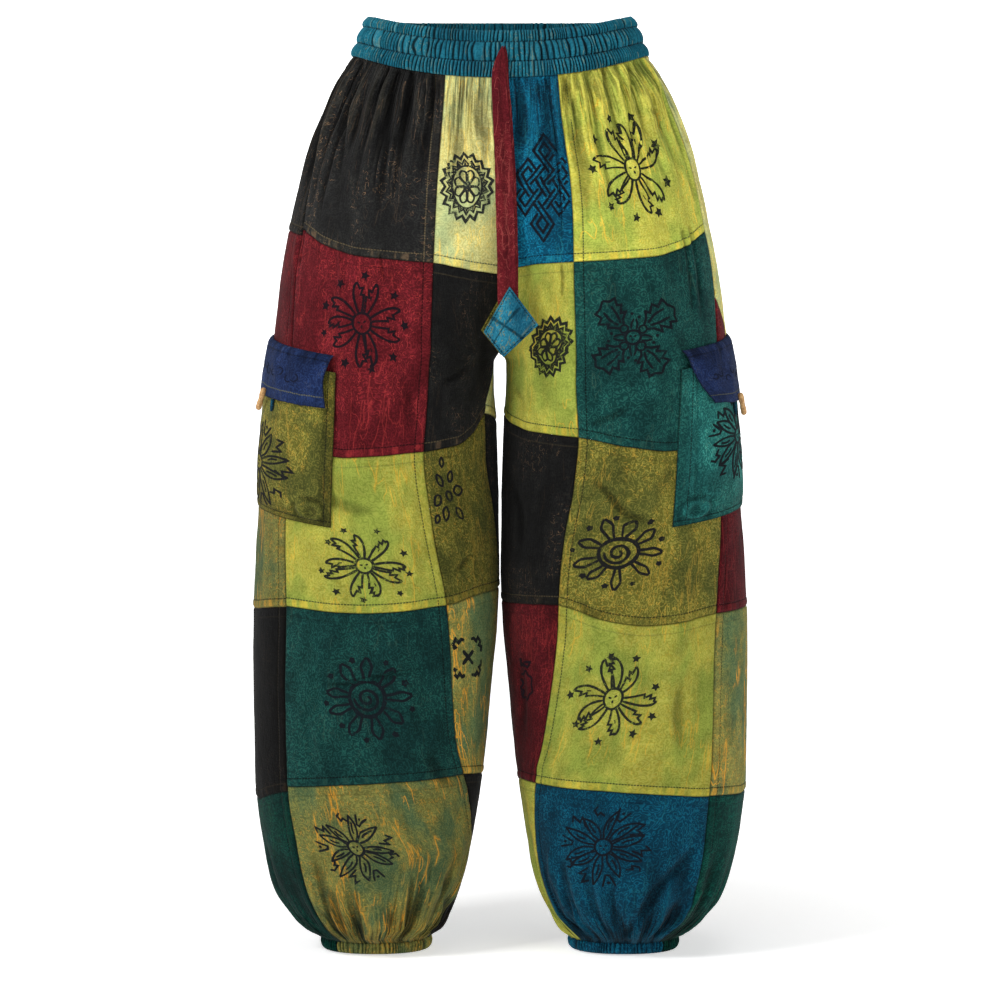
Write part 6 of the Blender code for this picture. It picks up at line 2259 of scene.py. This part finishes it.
def front_reach(level):
    """Most forward y of the waistband and the cloth beside the front centre seam."""
    if level >= BAND_BOTTOM:
        return -float(SECTIONS.read("front", level)) - BAND_BULGE - BAND_RIB_DEPTH
    share = np.linspace(*STRAP_REACH, STRAP_REACH_STEPS + 1)
    levels = np.full_like(share, level)
    return min(cad_cloth_point(leg, "front_inner", share, levels)[:, 1].min() for leg in SIDES)


def strap_line():
    """Levels down the strap with the y of the place where it hangs."""
    levels = np.linspace(STRAP.keys[-1], STRAP.keys[0], STRAP_ROWS)
    reach = np.array([front_reach(level) for level in levels])
    return levels, np.minimum.accumulate(reach)


STRAP_POINTS_DOWN = 140
STRAP_POINTS_ROUND = 32
# The slit down the strap and the piping along its sides: place and width, as shares of its half width
STRAP_SLIT = (0.12, 0.10)
STRAP_PIPING = (0.84, 0.12)


def strap(name, node, shift, forward, seed):
    """One end of the flat drawstring: a doubled strip of cloth with its fold and slit."""
    levels, reach = strap_line()
    fine = np.linspace(levels[0], levels[-1], STRAP_POINTS_DOWN)
    y = np.interp(fine, levels[::-1], reach[::-1])
    z = fine - SECTIONS.read("drop", fine)
    middle = STRAP.read("middle_x", fine) + shift
    half = STRAP.read("half_width", fine) * blend(0.3, 1.0, smooth(levels.max() - fine, 0.0, 0.006))
    back = y - SEAM_GAP - forward
    twist = 0.0002 * ripple(0.02, fine, fine * 0, fine * 0 + seed)
    around = np.arange(STRAP_POINTS_ROUND) * 2 * math.pi / STRAP_POINTS_ROUND
    side = np.sign(np.cos(around)) * np.abs(np.cos(around)) ** 0.55
    face = np.sign(np.sin(around)) * np.abs(np.sin(around)) ** 0.45
    in_front = np.sin(around) > 0
    slit = np.where(in_front, bell(side - STRAP_SLIT[0], STRAP_SLIT[1]), 0.0)
    piping = np.where(in_front, bell(np.abs(side) - STRAP_PIPING[0], STRAP_PIPING[1]), 0.0)
    crinkle = ripple(0.0030, fine[:, None], side * 0.004, seed)
    edge_wave = 0.00035 * ripple(0.011, fine[:, None], side, seed + 2)
    half_thick = STRAP_THICKNESS / 2
    x = middle[:, None] + half[:, None] * side + edge_wave * np.abs(side)
    thick = half_thick * (face - 0.55 * slit * face + 0.18 * piping) + 0.00012 * crinkle * (face > 0)
    depth = back[:, None] - half_thick - thick - twist[:, None]
    rows = joined(x, depth, z[:, None])
    faces = tube_faces(len(fine), len(around))
    along = np.broadcast_to(fine[:, None], x.shape)
    outline = (1 - np.abs(side)) * half[:, None]
    facts = {
        "cloth": joined(x + 3 * seed, -along, face * 0.002).reshape(-1, 3),
        "hem": np.full((x.size, 3), FAR),
        "side": joined(FAR, -along, outline * 2 + 0.0006).reshape(-1, 3),
        "pucker": (0.4 * crinkle).ravel(),
        # Raised piping and the sunk slit: painted shade in the slit, lighter piping
        "wear_and_shade": np.broadcast_to(piping - 1.6 * slit, x.shape).ravel().copy(),
    }
    piece = mesh_object(name, rows.reshape(-1, 3), faces, cloth("strap_red"), facts, 70)
    stand_for(piece, node)


DIAMOND_POINTS = 49


def diamond(name, node, flat_y, facing, shift, colour):
    """A folded square patch on a strap's end, fuller in the middle, with its folds sewn across."""
    top, right, bottom, left = [np.array(corner) + shift for corner in DIAMOND_CORNERS]
    across, down = shares_grid(DIAMOND_POINTS, DIAMOND_POINTS)
    start = blend(top, left, down[..., None])
    end = blend(right, bottom, down[..., None])
    flat = blend(start, end, across[..., None])
    middle = (1 - (2 * down - 1) ** 4) * (1 - (2 * across - 1) ** 4)
    full = DIAMOND_THICKNESS * blend(0.45, 1.0, middle)
    bend = across - 0.42 - 0.22 * (down - 0.5) ** 2
    fold = bell(bend, 0.030) * smooth(down, 0.0, 0.2)
    flap_line = bell(down - 0.68 + 0.25 * across, 0.028)
    full = full - 0.0007 * fold - 0.0007 * flap_line + 0.0003 * smooth(across, 0.4, 0.45)
    spot = joined(flat[..., 0], np.full_like(across, flat_y), flat[..., 1])
    full = full + 0.00025 * noise(spot, 0.006)
    outer = joined(flat[..., 0], flat_y + facing * full, flat[..., 1])
    inner = spot[::4, ::4]
    begin, finish, above, below = distances(outer)
    edge = np.minimum(np.minimum(begin, finish), np.minimum(above, below))
    facts = {
        "cloth": joined(begin, above, 0 * above),
        "hem": np.full((*begin.shape, 3), FAR),
        "side": joined(np.minimum(edge + SIDE_STITCH - 0.0022, FAR), begin + above, edge + 0.0004),
        "pucker": 0.5 * noise(spot, 0.004),
        # Painted shade along the sewn folds, and uneven darker and lighter patches
        "wear_and_shade": -1.3 * np.maximum(fold, flap_line) + 0.6 * noise(spot, 0.008),
    }
    piece = shell(name, outer, inner, cloth(colour), facts)
    stand_for(piece, node)
    return piece


def drawstring():
    """Both strap ends in two layers, each with its diamond."""
    hang_y = strap_line()[1].min()
    layer = STRAP_THICKNESS + SEAM_GAP
    rear = diamond(
        "diamond_rear_cloth", "diamond_rear", hang_y, 1.0, np.array(DIAMOND_REAR_SHIFT), "olive",
    )
    front = diamond(
        "diamond_front_cloth", "diamond_front", hang_y - 2 * layer - SEAM_GAP, -1.0, np.zeros(2),
        "diamond_blue",
    )
    strap("drawstring_rear_cloth", "drawstring_rear", STRAP_REAR_SHIFT, 0.0, 0.3)
    strap("drawstring_front_cloth", "drawstring_front", 0.0, layer, 0.7)


# ---------------------------------------------------------------- camera, light and floor
FLOOR_REACH = 6.5
WALL_BEND = 1.2
WALL_TOP = 2.4
FLOOR_GAP = 0.0015
FLOOR_SIDES = 64
FLOOR_GLOW = {"near": (0.20, 0.54), "far": (1.20, 0.92)}
PAPER = (0.9, 0.9, 0.9, 1.0)
WHITE = (1.0, 1.0, 1.0, 1.0)
WORLD_GLOW = 0.08
LAMPS = (
    # name, place, aimed at, width, watts
    ("key", (-2.0, -1.6, 1.5), (0.0, 0.0, -0.30), 0.9, 62.0),
    ("fill", (2.0, -2.2, 0.8), (0.0, 0.0, -0.4), 1.4, 9.0),
    ("top", (0.3, -0.5, 2.3), (0.0, 0.0, -0.5), 1.6, 24.0),
)
CAMERA_PLACE = (0.0, -3.2, -0.33)
CAMERA_TARGET = (0.0, 0.0, -0.4916)
CAMERA_LENS = 108.4
CAMERA_SENSOR = 36.0


def white_paper(floor_z):
    """White paper that glows more away from the middle, where the lamps are weak."""
    s = Shader("white_paper")
    s.settle(Base_Color=PAPER, Roughness=1.0, Specular_IOR_Level=0.0, Emission_Color=WHITE)
    where = s.placed(s.node("TexCoord").outputs["Object"], (1.0, 1.0), (0.0, 0.0, -floor_z))
    away = s.node("VectorMath", {"operation": "LENGTH"}, Vector=where).outputs["Value"]
    near, far = FLOOR_GLOW["near"], FLOOR_GLOW["far"]
    s.put(s.surface.inputs["Emission Strength"], s.step(away, near[0], far[0], near[1], far[1]))
    return s.material


def floor():
    """A white floor bent up into a low white wall all round."""
    floor_z = CUFF_BOTTOM - FLOOR_GAP
    bend = np.linspace(0.0, math.pi / 2, 13)
    profile = [(FLOOR_REACH + WALL_BEND * math.sin(a), WALL_BEND * (1 - math.cos(a))) for a in bend]
    profile.append((FLOOR_REACH + WALL_BEND, WALL_TOP))
    around = np.linspace(0.0, 2 * math.pi, FLOOR_SIDES, endpoint=False)
    points = [(out * math.cos(a), out * math.sin(a), floor_z + z) for out, z in profile for a in around]
    faces = [tuple(range(FLOOR_SIDES))]
    for low in range(0, (len(profile) - 1) * FLOOR_SIDES, FLOOR_SIDES):
        high = low + FLOOR_SIDES
        for i in range(FLOOR_SIDES):
            after = (i + 1) % FLOOR_SIDES
            faces.append((low + i, high + i, high + after, low + after))
    mesh = bpy.data.meshes.new("floor")
    mesh.from_pydata(points, [], faces)
    mesh.materials.append(white_paper(floor_z))
    mesh.shade_smooth()
    show("floor", mesh)


def stage():
    """The floor, soft studio light and the camera."""
    floor()
    world = bpy.data.worlds.new("studio")
    world.use_nodes = True
    glow = world.node_tree.nodes["Background"]
    glow.inputs[0].default_value = WHITE
    glow.inputs[1].default_value = WORLD_GLOW
    bpy.context.scene.world = world
    for name, place, target, width, watts in LAMPS:
        lamp = bpy.data.lights.new(name, "AREA")
        lamp.size = width
        lamp.energy = watts
        aim(show(name, lamp), place, target)

    camera = bpy.data.cameras.new("camera")
    camera.lens = CAMERA_LENS
    camera.sensor_width = CAMERA_SENSOR
    bpy.context.scene.camera = show("camera", camera)
    aim(bpy.context.scene.camera, CAMERA_PLACE, CAMERA_TARGET)
    bpy.context.scene.view_settings.view_transform = "Standard"


def aim(thing, place, target):
    """Puts a lamp or camera at a place, looking at a target."""
    thing.location = place
    thing.rotation_euler = (Vector(target) - Vector(place)).to_track_quat("-Z", "Y").to_euler()


def main():
    """Builds every piece of the garment, its prints and the stage."""
    stage()
    drawstring()
    waistband()
    for leg in SIDES:
        for column in COLUMNS:
            for row in ROWS:
                patch(leg, column, row)
        cuff(leg)
        pocket(leg)
        flap(leg)
        loop(leg)
    prints()
    wooden = wood()
    for leg in SIDES:
        toggle(leg, wooden)


main()
